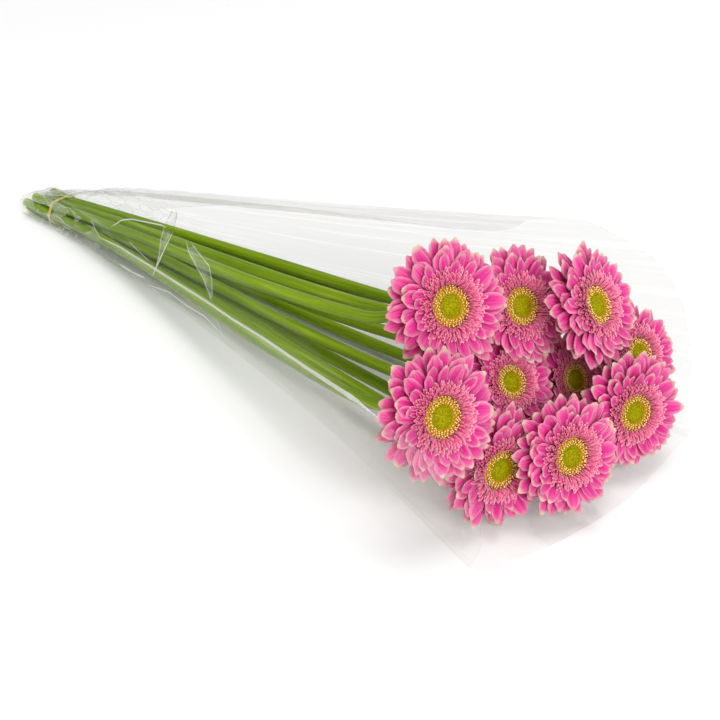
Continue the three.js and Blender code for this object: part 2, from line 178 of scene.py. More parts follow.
# The bed under them, as radius shares and heights; it has the anthers' colour beyond a radius share.
EYE_BED = [
    (0.2, 1.6), (0.262, 1.7), (0.292, 2.4), (0.28, 3.0), (0.235, 3.4), (0.19, 3.2),
    (0.16, 3.5), (0.1, 4.2), (0.03, 4.45),
]
BED_ANTHER_START = 0.185

# Rows of bracts up the cup: root and tip as radius and height in mm.
BRACT_ROWS = [
    {"root": (4.2, -15.6), "tip": (9.2, -9.6), "count": 13, "width": 2.6},
    {"root": (5.4, -13.6), "tip": (10.2, -7.0), "count": 15, "width": 2.6},
    {"root": (6.8, -11.4), "tip": (11.0, -4.9), "count": 17, "width": 2.4},
]

# ---- film sleeve, as in the part's source but for a rounded lip on the floor side of its mouth ----
NARROW_X = -562
NARROW_HALF_WIDTH = 20
NARROW_HALF_HEIGHT = 15.5
SPREAD_POWER = 1.7
NEAR_SIDE_Y = -118
# Rows round the film: place on the narrow ring across and up, mouth point, and share of the way reached.
GUIDES = [
    (-0.75, -1, (47, -78, 0), 1),
    (-0.4, -1, (66, -24, 0), 1),
    (0, -1, (78, 36, 0), 1),
    (0.4, -1, (78, 96, 0), 1),
    (0.75, -1, (75, 131, 0), 1),
    (1, -0.6, (60, 153, 27), 1),
    (1.05, -0.1, (52, 156, 57), 1),
    (1, 0.35, (43, 148, 92), 1),
    (0.8, 0.75, (25, 130, 126), 1),
    (0.45, 0.98, (-7, 96, 155), 1),
    (0.1, 1.05, (-30, 62, 165), 1),
    (-0.2, 1.05, (-48, 30, 162), 0.98),
    (-0.5, 0.95, (-60, -20, 178), 0.62),
    (-0.8, 0.7, (-60, -75, 150), 0.46),
    (-1, 0.3, (-48, -112, 106), 1.15),
    (-1.05, -0.1, (5, -118, 66), 1.1),
    (-1, -0.5, (32, -110, 38), 1.04),
    (-0.9, -0.85, (46, -94, 12), 1),
]
FILM_AROUND = 288
FILM_ALONG = 150
# Room between the film and what it wraps, and how far its outer face lies inside the solid's.
FILM_CLEAR = 1.0
FILM_INSET = 0.1
# Near the tie the film is drawn in by this much, less and less up to a share of its length.
TIE_PULL = 12
TIE_PULL_END = 0.3
# Soft folds: how many round the film, phase, and drift down its length.
FOLDS = [(5, 0.4, 1.3), (9, 2.1, -0.9), (14, 4.0, 0.7)]
# Crumples: direction in degrees, pitch in mm, and phase; their milk, which is painted glints on the
# crumpled facets, fades out between two shares.
CRUMPLES = [(20, 31, 0.3), (75, 47, 1.9), (128, 38, 3.3), (160, 59, 5.1)]
CRUMPLED_SHARES = (0.08, 0.36)
# Stretches round the film, in guide rows: where each starts and where it ends, both with a soft edge.
# The far stretch marks the far wall and the top, which get painted shade: a darker tint than the near
# wall, so they show grey over the floor.
SHADED_FAR_STRETCH = ((4, 5.5), (12, 13))
# The top stretch and the top veil give a painted sheen over the top of the stems.
TOP_SHEEN_STRETCH = ((9.5, 11), (12.5, 13.2))
HAZY_RIM_STRETCH = ((4.5, 5), (12.2, 12.7))
TOP_SHEEN = 0.04
RIM_HAZE = 0.06
RIM_RADIUS = 0.3
RIM_SIDES = 6

# Creases and doubled flaps of the film, as runs of points in the 720 by 720 picture, laid on the film.
PICTURE = 720
SENSOR = 36
RUN_STEP = 2.5
# A step longer than this, in mm, leaps from one wall of the film to the other.
WALL_LEAP = 30
CREASE_SIDES = 8
CREASE_FLATNESS = 0.35
FLAP_LIFT = 0.5
FLAP_THICKNESS = 0.15
# Each crease's milk is partly the film's own whitening at the fold and partly a painted highlight along
# it.
CREASES = [
    {"width": 3.0, "haze": 0.55, "line": [(99, 237), (121, 248), (155, 269), (204, 300), (232, 319),
                                         (266, 340), (305, 367), (357, 401), (378, 418)]},
    {"width": 1.8, "haze": 0.75, "line": [(119, 264), (136, 274), (145, 278)]},
    {"width": 1.7, "haze": 0.75, "line": [(149, 285), (169, 292), (186, 305), (204, 316), (220, 332)]},
    {"width": 0.9, "haze": 0.6, "line": [(152, 287), (164, 300), (180, 312), (194, 322)]},
    {"width": 0.9, "haze": 0.6, "line": [(216, 318), (223, 338), (238, 351)]},
    {"width": 0.9, "haze": 0.6, "line": [(47, 212), (50, 222), (54, 235)]},
    {"width": 0.9, "haze": 0.6, "line": [(91, 219), (95, 229), (100, 238)]},
    {"width": 0.9, "haze": 0.6, "line": [(111, 227), (122, 220), (131, 219), (161, 225), (172, 230)]},
    {"width": 0.9, "haze": 0.6, "line": [(129, 241), (136, 249), (149, 261)]},
    {"width": 0.9, "haze": 0.6, "line": [(74, 246), (81, 243), (88, 242)]},
    {"width": 0.9, "haze": 0.7, "line": [(175, 206), (177, 216), (172, 234), (165, 248), (152, 277)]},
    {"width": 0.7, "haze": 0.6, "line": [(174, 207), (164, 227), (161, 239), (159, 255), (156, 268)]},
    {"width": 0.7, "haze": 0.6, "line": [(184, 232), (197, 251), (209, 266), (212, 281), (212, 300)]},
    {"width": 0.7, "haze": 0.6, "line": [(184, 232), (189, 253), (204, 280), (209, 293), (212, 302)]},
]
# A flap's milk, partly a painted reflection of the bright surround, runs from its left edge to its right
# one, and fades out between two shares of its length.
FLAPS = [
    {"grid": (16, 7), "haze": (0.05, 0.16), "fade": (1, 2),
     "left": [(174, 207), (164, 227), (159, 255), (156, 267)],
     "right": [(176, 208), (177, 216), (165, 248), (157, 266)]},
    {"grid": (16, 7), "haze": (0.14, 0.06), "fade": (1, 2),
     "left": [(185, 234), (189, 253), (204, 280), (211, 300)],
     "right": [(186, 234), (209, 266), (212, 281), (212, 299)]},
    {"grid": (140, 12), "haze": (0.0, 0.05, 0.07, 0.06, 0.07), "fade": (0.8, 0.95),
     "left": [(68, 232), (112, 257), (162, 288), (212, 324), (264, 366), (322, 418), (352, 446),
              (386, 480), (410, 502), (430, 520), (446, 536), (462, 550)],
     "right": [(62, 222), (99, 237), (155, 269), (232, 319), (305, 367), (378, 418), (415, 446),
               (431, 458), (446, 474), (456, 492), (458, 518), (466, 548)]},
]


def mix(low, high, share):
    """The value a share of the way from low to high."""
    return low + (high - low) * share


def smooth_step(low, high, value):
    """0 below low, 1 above high, and an even curve between."""
    share = np.clip((value - low) / (high - low), 0, 1)
    return share * share * (3 - 2 * share)


def stretch(start, end, value):
    """0 before the start range and after the end range, 1 between them, with an even curve across each."""
    return smooth_step(*start, value) * (1 - smooth_step(*end, value))


def ring_turns(sides):
    """The angles of evenly spaced points round a ring."""
    return np.arange(sides) / sides * 2 * math.pi


def bent_line(radii, heights, share):
    """Radius, height and tilt along a quadratic curve with three control points."""
    (r0, r1, r2), (h0, h1, h2) = radii, heights
    out = r0 * (1 - share) ** 2 + 2 * r1 * share * (1 - share) + r2 * share**2
    height = h0 * (1 - share) ** 2 + 2 * h1 * share * (1 - share) + h2 * share**2
    tilt = np.arctan2(mix(h1 - h0, h2 - h1, share), mix(r1 - r0, r2 - r1, share))
    return out, height, tilt


def to_row(points):
    """Millimetres in the working frame, as metres in the row frame."""
    return (np.asarray(points, float) - ORIGIN) * MM


# ---- heads and stems ----


class Head:
    """One bloom: where its eye is, how it faces and where its stem runs."""

    def __init__(self, number, row):
        azimuth = math.radians(row["azimuth"])
        elevation = math.radians(row["elevation"])
        level = math.cos(elevation)
        self.number = number
        self.label = f"{number:02d}"
        self.radius = row["radius"]
        self.centre = np.array(row["at"], float)
        self.facing = np.array(
            [math.cos(azimuth) * level, math.sin(azimuth) * level, math.sin(elevation)]
        )
        self.side = np.cross([0, 0, 1], self.facing)
        self.side /= np.linalg.norm(self.side)
        self.up = np.cross(self.facing, self.side)
        self.base = row["base"]
        self.way = np.array(row["way"], float)
        self.cut = row["cut"]

    def place(self, turn, out, across, height):
        """Points given by a turn about the facing axis, out from it, sideways, and along it."""
        turn, out, across, height = np.broadcast_arrays(turn, out, across, height)
        cos, sin = np.cos(turn)[..., None], np.sin(turn)[..., None]
        radial = self.side * cos + self.up * sin
        tangent = self.up * cos - self.side * sin
        return (
            self.centre
            + out[..., None] * radial
            + across[..., None] * tangent
            + height[..., None] * self.facing
        )

    def stem_point(self, share):
        """A point of the stem's middle line, from the cut end past the way point to the cup."""
        start = bundle_place(CUT_END_X - self.cut, self.base)
        tied = bundle_place(BAND_X + TIED_LENGTH, self.base)
        if share < TIED_SHARE:
            return mix(start, tied, share / TIED_SHARE)
        neck = self.centre + (CUP_TOP - CUP_DEPTH) * self.facing
        first = np.linalg.norm(self.way - tied)
        second = np.linalg.norm(neck - self.way)
        wayward = (self.way - tied) * (0.8 / first) + (neck - self.way) * (0.2 / second)
        wayward /= np.linalg.norm(wayward)
        way_share = 1 - second / (first + second)
        if share < way_share:
            part = (share - TIED_SHARE) / (way_share - TIED_SHARE)
            leave = mix(np.array([1, 0.08, 0.1]) * first, self.way - tied, LEAVE_STRAIGHT)
            return hermite(tied, leave, self.way, wayward * first, part)
        part = (share - way_share) / (1 - way_share)
        return hermite(self.way, wayward * second, neck, self.facing * second, part)


def bundle_place(x, base):
    """A stem's place in the tied bundle, from steps across and rows up."""
    across, row = base
    return np.array([x, BUNDLE_CENTRE_Y + across * BUNDLE_PITCH, BUNDLE_BOTTOM + row * BUNDLE_ROW])


def hermite(start, start_pull, end, end_pull, share):
    """A smooth curve between two points with a pull at each."""
    s2 = share * share
    s3 = s2 * share
    return (
        start * (2 * s3 - 3 * s2 + 1)
        + start_pull * (s3 - 2 * s2 + share)
        + end * (3 * s2 - 2 * s3)
        + end_pull * (s3 - s2)
    )


HEAD_LIST = [Head(i + 1, row) for i, row in enumerate(HEADS)]


# ---- ray florets: draws, and bending them clear of what is already placed ----


def seeded(seed):
    """The part source's own draw of numbers from 0 to 1."""
    state = seed
    while True:
        state = (state * 16807) % 2147483647
        yield state / 2147483647


def draw_whorls(head, whorls, draws, ray_width):
    """The florets of these whorls, with turn, length, rise, arch and width drawn in order."""
    rays = []
    for whorl in whorls:
        for k in range(RAYS_PER_WHORL):
            jitter = 0.16 * (next(draws) - 0.5)
            rays.append({
                "turn": (k + whorl["turn"] + jitter) / RAYS_PER_WHORL * 2 * math.pi,
                "length": (whorl["reach"] * mix(0.94, 1.04, next(draws)) - RAY_ROOT) * head.radius,
                "rise": whorl["rise"] + mix(-2, 2, next(draws)),
                "arch": mix(-16, 6, next(draws)),
                "width": ray_width * mix(0.9, 1.02, next(draws)) * (head.radius / WIDTH_RADIUS),
                "bend": 0,
                "from": RAY_ROOT * head.radius,
                "root": whorl["root"],
            })
    return rays


def draw_short_rays(head, draws, ray_width):
    """The uneven last whorl: short florets that stand up, most of them on the left."""
    rays = []
    for k in range(SHORT_RAYS):
        leftward = math.pi + math.radians(150) * (2 * (k + next(draws)) / SHORT_RAYS - 1)
        rays.append({
            "turn": leftward,
            "length": (mix(0.62, 0.78, next(draws)) - RAY_ROOT) * head.radius,
            "rise": mix(15, 25, next(draws)),
            "arch": mix(-14, 22, next(draws)),
            "width": ray_width * mix(0.55, 0.75, next(draws)) * (head.radius / WIDTH_RADIUS),
            "bend": 0,
            "from": (RAY_ROOT + 0.06) * head.radius,
            "root": 1.4,
        })
    return rays


def ray_line(ray, share):
    """Radius, height and tilt of a floret's middle line: flat to the hinge, then bent and arched."""
    hinge = (RAY_HINGE - RAY_ROOT) / (1 - RAY_ROOT)
    rise = math.radians(ray["rise"])
    flat = np.minimum(share, hinge) * ray["length"]
    free = np.maximum(0, share - hinge) * ray["length"]
    bend = rise + math.radians(ray["bend"])
    arch = math.radians(ray["arch"]) * free / ((1 - hinge) * ray["length"])
    radius = ray["from"] + flat * math.cos(rise) + free * np.cos(bend + arch / 2)
    height = ray["root"] + flat * math.sin(rise) + free * np.sin(bend + arch / 2)
    return radius, height, np.where(share < hinge, rise, bend + arch)


FEELER_SHARES = np.array([0.42, 0.56, 0.7, 0.84, 0.95])
FEELER_WIDTHS = np.where(
    FEELER_SHARES < 0.72,
    mix(0.74, 1, (FEELER_SHARES - 0.38) / 0.34),
    mix(1, 0.7, (FEELER_SHARES - 0.72) / 0.23),
)


def ray_feelers(head, ray):
    """The places on a floret that must stay clear of other blooms and stems."""
    radius, height, tilt = ray_line(ray, FEELER_SHARES)
    half = ray["width"] / 2 * FEELER_WIDTHS
    across = np.stack([-half, 0 * half, half], 1)
    lift = np.stack([0.14 * half, 0 * half, 0.14 * half], 1)
    out = radius[:, None] - lift * np.sin(tilt)[:, None]
    return head.place(
        ray["turn"], out, across, height[:, None] + lift * np.cos(tilt)[:, None]
    ).reshape(-1, 3)


class Crowd:
    """Balls that stand for what is already in place, each with the head that owns it."""

    def __init__(self):
        self.points, self.sizes, self.owners = [], [], []

    def add(self, points, size, owner):
        points = np.atleast_2d(points)
        self.points.append(points)
        self.sizes.append(np.full(len(points), float(size)))
        self.owners.append(np.full(len(points), owner))

    def near(self, head):
        """The balls of other heads within reach of this one."""
        points = np.concatenate(self.points)
        sizes = np.concatenate(self.sizes)
        owners = np.concatenate(self.owners)
        close = np.linalg.norm(points - head.centre, axis=1) < head.radius * 1.3 + sizes
        keep = close & (owners != head.number)
        return points[keep], sizes[keep]


def head_and_stem_balls(crowd, stem_radius):
    """Each head's middle and the last part of each stem, as in the part's source."""
    for head in HEAD_LIST:
        crowd.add(head.place(0, 0, 0, 0), 0.28 * head.radius, head.number)
        crowd.add(head.place(0, 0, 0, -9), 8.5, head.number)
        crowd.add(head.place(ring_turns(12), 0.4 * head.radius, 0, 3.5), 5, head.number)
        line = [head.stem_point(share) for share in np.arange(0.6, 1.0001, 0.008)]
        crowd.add(np.array(line), stem_radius + 0.6, head.number)


def settle(head, rays, crowd):
    """Bends each floret clear of the crowd; one that nothing clears is left out."""
    points, sizes = crowd.near(head)
    kept = []
    for ray in rays:
        for bend in BENDS:
            ray["bend"] = bend
            feelers = ray_feelers(head, ray)
            gaps = np.linalg.norm(feelers[:, None] - points[None], axis=2) - sizes - TOUCH
            if feelers[:, 2].min() > LOWEST_PETAL and gaps.min() > 0:
                kept.append(ray)
                break
    return kept


def settled_rays(ray_width, stem_radius):
    """Every head's ray florets: those of the solids first, then those between and above them."""
    crowd = Crowd()
    head_and_stem_balls(crowd, stem_radius)
    rays = {}
    for head in HEAD_LIST:
        draws = seeded(11 + 7 * (head.number - 1))
        kept = settle(head, draw_whorls(head, WHORLS, draws, ray_width), crowd)
        rays[head.number] = kept
        for ray in kept:
            crowd.add(ray_feelers(head, ray), TOUCH, head.number)
    for head in HEAD_LIST:
        draws = seeded(503 + 7 * head.number)
        more = draw_whorls(head, BETWEEN_WHORLS, draws, ray_width)
        more += draw_short_rays(head, draws, ray_width)
        kept = settle(head, more, crowd)
        rays[head.number] += kept
        for ray in kept:
            crowd.add(ray_feelers(head, ray), TOUCH, head.number)
    return rays


# ---- mesh tools ----


class Shape:
    """Points, faces and named values for one mesh, gathered from several bodies."""

    def __init__(self):
        self.points, self.faces, self.values = [], [], []
        self.count = 0

    def add(self, points, faces, **values):
        """points is (n, 3) in working millimetres; faces are arrays of point numbers."""
        points = np.asarray(points, float).reshape(-1, 3)
        self.faces += [np.asarray(group) + self.count for group in faces]
        self.values.append({
            name: np.broadcast_to(np.asarray(value, float).ravel(), len(points))
            if np.ndim(value) == 0 or np.size(value) == 1
            else np.asarray(value, float).ravel()
            for name, value in values.items()
        })
        self.points.append(points)
        self.count += len(points)

    def mesh(self, name):
        """The gathered bodies as one mesh, smooth but for its sharp edges."""
        data = bpy.data.meshes.new(name)
        points = to_row(np.concatenate(self.points))
        data.vertices.add(len(points))
        data.vertices.foreach_set("co", points.ravel())
        corners = np.concatenate([group.ravel() for group in self.faces])
        sizes = np.concatenate([np.full(len(g), g.shape[1]) for g in self.faces])
        data.loops.add(len(corners))
        data.loops.foreach_set("vertex_index", corners)
        data.polygons.add(len(sizes))
        data.polygons.foreach_set("loop_start", np.concatenate([[0], np.cumsum(sizes)[:-1]]))
        data.update(calc_edges=True)
        for value in sorted({key for part in self.values for key in part}):
            column = np.concatenate([
                part.get(value, np.zeros(len(points_of)))
                for part, points_of in zip(self.values, self.points)
            ])
            data.attributes.new(value, "FLOAT", "POINT").data.foreach_set("value", column)
        data.shade_smooth()
        data.set_sharp_from_angle(angle=math.radians(60))
        return data


def grid_quads(rows, columns, wrap=False):
    """The four-sided faces of a grid of points; wrap joins the last column to the first."""
    row = np.arange(rows - 1)[:, None]
    column = np.arange(columns if wrap else columns - 1)[None]
    after = (column + 1) % columns
    here = row * columns
    quads = [here + column, here + columns + column, here + columns + after, here + after]
    return np.stack(quads, -1).reshape(-1, 4)


def strap_faces(rows, columns):
    """A thin strap's faces: upper grid, under grid turned over, and the wall round the edge."""
    upper = grid_quads(rows, columns)
    size = rows * columns
    under = upper[:, ::-1] + size
    near = np.arange(rows) * columns
    far = np.arange(columns) + (rows - 1) * columns
    border = np.concatenate([near, far[1:], near[::-1][1:] + columns - 1, np.arange(columns)[::-1][1:]])
    start, end = border[:-1], border[1:]
    wall = np.stack([start, start + size, end + size, end], 1)
    return np.concatenate([upper, under, wall])


def repeated(faces, count, stride):
    """The same faces for each of count bodies of stride points."""
    return (faces[None] + (np.arange(count) * stride)[:, None, None]).reshape(-1, faces.shape[1])


def add_straps(shape, head, turn, out, height, tilt, offset, lift, thick, **values):
    """Adds closed thin straps on a head; every array is (straps, rows, columns)."""
    faces = []
    for drop in (0, thick):
        raised = lift - drop
        faces.append(head.place(
            turn, out - raised * np.sin(tilt), offset, height + raised * np.cos(tilt)
        ))
    points = np.stack(faces, 1)
    count, _, rows, columns, _ = points.shape
    whole = {
        name: np.broadcast_to(value, (count, rows, columns))[:, None].repeat(2, 1)
        for name, value in values.items()
    }
    whole["under"] = np.zeros((count, 2, rows, columns))
    whole["under"][:, 1] = 1
    stride = 2 * rows * columns
    shape.add(points, [repeated(strap_faces(rows, columns), count, stride)], **whole)


def add_knobs(shape, feet, axes, radii, heights, profile, sides, **values):
    """Adds small closed bodies of revolution: profile is (radius share, height share) rows."""
    feet, axes = np.atleast_2d(feet), np.atleast_2d(axes)
    count = len(feet)
    radii = np.broadcast_to(radii, count)[:, None, None, None]
    heights = np.broadcast_to(heights, count)[:, None, None, None]
    side = np.cross(axes, np.where(np.abs(axes[:, 2:]) < 0.9, [[0, 0, 1]], [[1, 0, 0]]))
    side /= np.linalg.norm(side, axis=1)[:, None]
    other = np.cross(axes, side)
    turn = ring_turns(sides)
    ring = np.cos(turn)[:, None] * side[:, None] + np.sin(turn)[:, None] * other[:, None]
    rings = np.array(profile, float)
    points = (
        feet[:, None, None]
        + ring[:, None] * radii * rings[None, :, None, :1]
        + axes[:, None, None] * heights * rings[None, :, None, 1:]
    )
    rows = len(rings)
    stride = rows * sides
    wall = grid_quads(rows, sides, wrap=True)[:, ::-1]
    caps = np.stack([np.arange(sides)[::-1], np.arange(sides) + (rows - 1) * sides])
    whole = {
        name: np.broadcast_to(np.asarray(value, float).reshape(-1, 1, 1), (count, rows, sides))
        for name, value in values.items()
    }
    whole["along"] = np.broadcast_to(rings[None, :, None, 1], (count, rows, sides))
    shape.add(points, [repeated(wall, count, stride), repeated(caps, count, stride)], **whole)


def add_tube(shape, rings, **values):
    """Adds a closed tube through rings of points, (rings, sides, 3)."""
    rows, sides, _ = rings.shape
    caps = np.stack([np.arange(sides)[::-1], np.arange(sides) + (rows - 1) * sides])
    shape.add(rings, [grid_quads(rows, sides, wrap=True)[:, ::-1], caps], **values)


def dress(shape, name, material, node, slot):
    """Makes the piece's object in the frame, in place of its CAD node."""
    piece = bpy.data.objects.new(name, shape.mesh(name))
    piece.data.materials.append(material)
    bpy.context.scene.collection.objects.link(piece)
    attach(piece, "root")
    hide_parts(node)
    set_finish(piece, slot)
    return piece


# ---- materials ----


class Finish:
    """One material's nodes, built in short lines."""

    def __init__(self, name):
        self.material = bpy.data.materials.new(name)
        self.material.use_nodes = True
        self.tree = self.material.node_tree
        self.tree.nodes.clear()

    def add(self, kind, values=None, **settings):
        """A shader node with its settings, and with values or links set on its sockets."""
        node = self.tree.nodes.new("ShaderNode" + kind)
        for name, value in settings.items():
            setattr(node, name, value)
        for key, value in (values or {}).items():
            if isinstance(value, bpy.types.NodeSocket):
                self.tree.links.new(value, node.inputs[key])
            else:
                node.inputs[key].default_value = value
        return node

    def value(self, name):
        """A named value of the mesh."""
        return self.add("Attribute", attribute_name=name).outputs["Fac"]

    def math(self, operation, first, second=0.0):
        """The result of one sum on two values."""
        return self.add("Math", {0: first, 1: second}, operation=operation).outputs[0]

    def times(self, first, second):
        """Two values multiplied."""
        return self.math("MULTIPLY", first, second)

    def plus(self, first, second):
        """Two values added."""
        return self.math("ADD", first, second)

    def vector(self, x, y, z):
        """Three values as a place for a texture."""
        return self.add("CombineXYZ", {0: x, 1: y, 2: z}).outputs[0]

    def noise(self, vector, scale, detail=3.0, roughness=0.55):
        """Cloudy noise from 0 to 1."""
        values = {"Vector": vector, "Scale": scale, "Detail": detail, "Roughness": roughness}
        return self.add("TexNoise", values).outputs["Fac"]

    def band(self, value, low, high, start=0.0, end=1.0):
        """start below low, end above high, and an even curve between."""
        values = {"Value": value, "From Min": low, "From Max": high, "To Min": start, "To Max": end}
        return self.add("MapRange", values, interpolation_type="SMOOTHSTEP").outputs[0]

    def mix(self, share, first, second):
        """The colour a share of the way from the first to the second."""
        return self.add("Mix", {0: share, 6: first, 7: second}, data_type="RGBA").outputs[2]

    def bump(self, height, distance, strength):
        """A surface direction that is roughened by height, up to a distance in metres."""
        values = {"Height": height, "Distance": distance, "Strength": strength}
        return self.add("Bump", values).outputs[0]

    def finish(self, shader):
        """The material, with this shader on its surface."""
        self.add("OutputMaterial", {"Surface": shader})
        return self.material


def opaque(colour):
    """A colour property as the four numbers that a socket takes."""
    return (*colour, 1.0)


def ray_finish(look):
    """Deep magenta roots, pink blades with fine lengthwise veins, pale edges and cream tips."""
    made = Finish("ray_floret_pink")
    along, across = made.value("along"), made.value("across")
    tone, under = made.value("tone"), made.value("under")
    edge = made.math("ABSOLUTE", across)
    blade = made.mix(made.band(along, 0.35, 0.85), opaque(look.ray_deep), opaque(look.ray_mid))
    blade = made.mix(made.band(along, 0.72, 1.0, 0, 0.7), blade, opaque(look.ray_pale))
    place = made.vector(made.times(across, 6.0), made.times(along, 0.8), made.times(tone, 41.0))
    streaks = made.noise(place, 1.0, 4.0, 0.62)
    blade = made.mix(made.band(streaks, 0.52, 0.66, 0, 0.45), blade, opaque(look.ray_pale))
    blade = made.mix(made.band(streaks, 0.5, 0.36, 0, 0.5), blade, opaque(look.ray_deep))
    rim = made.times(made.band(edge, 0.45, 1.05), made.band(along, 0.4, 0.95))
    blade = made.mix(made.times(rim, 0.5), blade, opaque(look.ray_rim))
    tip = made.times(made.band(along, 0.87, 1.0), made.band(tone, 0.1, 0.9, 0.3, 0.95))
    blade = made.mix(tip, blade, opaque(look.ray_tip))
    blade = made.mix(made.times(under, 0.55), blade, opaque(look.ray_under))
    ribs = made.add("TexWave", {
        "Vector": made.vector(across, made.times(along, 0.15), tone),
        "Scale": 1.9, "Distortion": 1.2, "Detail": 2.0,
    }, wave_type="BANDS", bands_direction="X").outputs["Fac"]
    normal = made.bump(made.plus(ribs, streaks), 0.0004, 0.6)
    body = made.add("BsdfPrincipled", {
        "Base Color": blade, "Roughness": 0.52, "Specular IOR Level": 0.35,
        "Sheen Weight": 0.15, "Sheen Roughness": 0.4, "Normal": normal,
    }).outputs[0]
    glow = made.add("BsdfTranslucent", {"Color": blade, "Normal": normal}).outputs[0]
    return made.finish(made.add("MixShader", {0: 0.22, 1: body, 2: glow}).outputs[0])


def fringe_finish(look):
    """Rose florets with pale lips, undersides and inner rows."""
    made = Finish("fringe_floret_rose")
    along, across = made.value("along"), made.value("across")
    tone, pale, under = made.value("tone"), made.value("pale"), made.value("under")
    edge = made.math("ABSOLUTE", across)
    deep = made.mix(tone, opaque(look.fringe_deep), opaque(look.fringe_mid))
    rim = made.math("MAXIMUM", made.band(edge, 0.5, 0.95), made.band(along, 0.86, 0.97))
    rim = made.times(rim, made.band(along, 0.45, 0.8))
    colour = made.mix(made.times(rim, 0.65), deep, opaque(look.fringe_pale))
    colour = made.mix(made.math("MAXIMUM", pale, made.times(under, 0.75)), colour,
                      opaque(look.fringe_inner))
    body = made.add("BsdfPrincipled", {
        "Base Color": colour, "Roughness": 0.45, "Specular IOR Level": 0.4,
    }).outputs[0]
    glow = made.add("BsdfTranslucent", {"Color": colour}).outputs[0]
    return made.finish(made.add("MixShader", {0: 0.2, 1: body, 2: glow}).outputs[0])


def eye_finish(look):
    """Yellow-green buds at the middle, and golden anthers with pale pollen round them."""
    made = Finish("eye_yellow_green")
    along, tone, anther = made.value("along"), made.value("tone"), made.value("anther")
    spot = made.noise(made.add("TexCoord").outputs["Object"], 900.0, 3.0)
    bud = made.mix(made.band(spot, 0.35, 0.7), opaque(look.disc_deep), opaque(look.disc_bright))
    stalk = made.mix(tone, opaque(look.anther_brown), opaque(look.anther_gold))
    stalk = made.mix(made.band(along, 0.55, 0.95), stalk, opaque(look.pollen))
    colour = made.mix(anther, bud, stalk)
    body = made.add("BsdfPrincipled", {
        "Base Color": colour, "Roughness": 0.6, "Specular IOR Level": 0.06,
        "Normal": made.bump(spot, 0.0003, 0.5),
    }).outputs[0]
    return made.finish(body)


def stem_finish(look):
    """Fresh green with lengthwise streaks, darker towards the tie, paler at cut and bract tips."""
    made = Finish("stem_green")
    along, around, part = made.value("along"), made.value("around"), made.value("part")
    tone = made.value("tone")
    place = made.vector(made.times(around, 9.0), made.times(along, 5.0), made.times(tone, 19.0))
    streaks = made.noise(place, 1.0, 4.0, 0.6)
    colour = made.mix(made.band(streaks, 0.3, 0.7), opaque(look.stem_shade), opaque(look.stem_green))
    colour = made.mix(made.band(along, 0.6, 0.1, 0, 0.5), colour, opaque(look.stem_shade))
    colour = made.mix(made.band(along, 0.02, 0.0, 0, 0.4), colour, opaque(look.stem_pale))
    colour = made.mix(made.band(streaks, 0.58, 0.75, 0, 0.35), colour, opaque(look.stem_pale))
    colour = made.mix(part, colour, opaque(look.cut_pale))
    body = made.add("BsdfPrincipled", {
        "Base Color": colour, "Roughness": 0.4, "Specular IOR Level": 0.18,
        "Sheen Weight": 0.02, "Sheen Roughness": 0.45,
        "Subsurface Weight": 0.15, "Subsurface Radius": (0.4, 1.0, 0.2), "Subsurface Scale": 0.001,
        "Normal": made.bump(streaks, 0.0003, 0.5),
    }).outputs[0]
    return made.finish(body)


def band_finish(look):
    """Dull natural rubber with dusty patches."""
    made = Finish("band_rubber")
    dust = made.noise(made.add("TexCoord").outputs["Object"], 1400.0, 4.0)
    colour = made.mix(made.band(dust, 0.35, 0.7), opaque(look.band_tan), opaque(look.band_pale))
    body = made.add("BsdfPrincipled", {
        "Base Color": colour, "Roughness": made.band(dust, 0.3, 0.8, 0.5, 0.75),
        "Normal": made.bump(dust, 0.0002, 0.5),
    }).outputs[0]
    return made.finish(body)


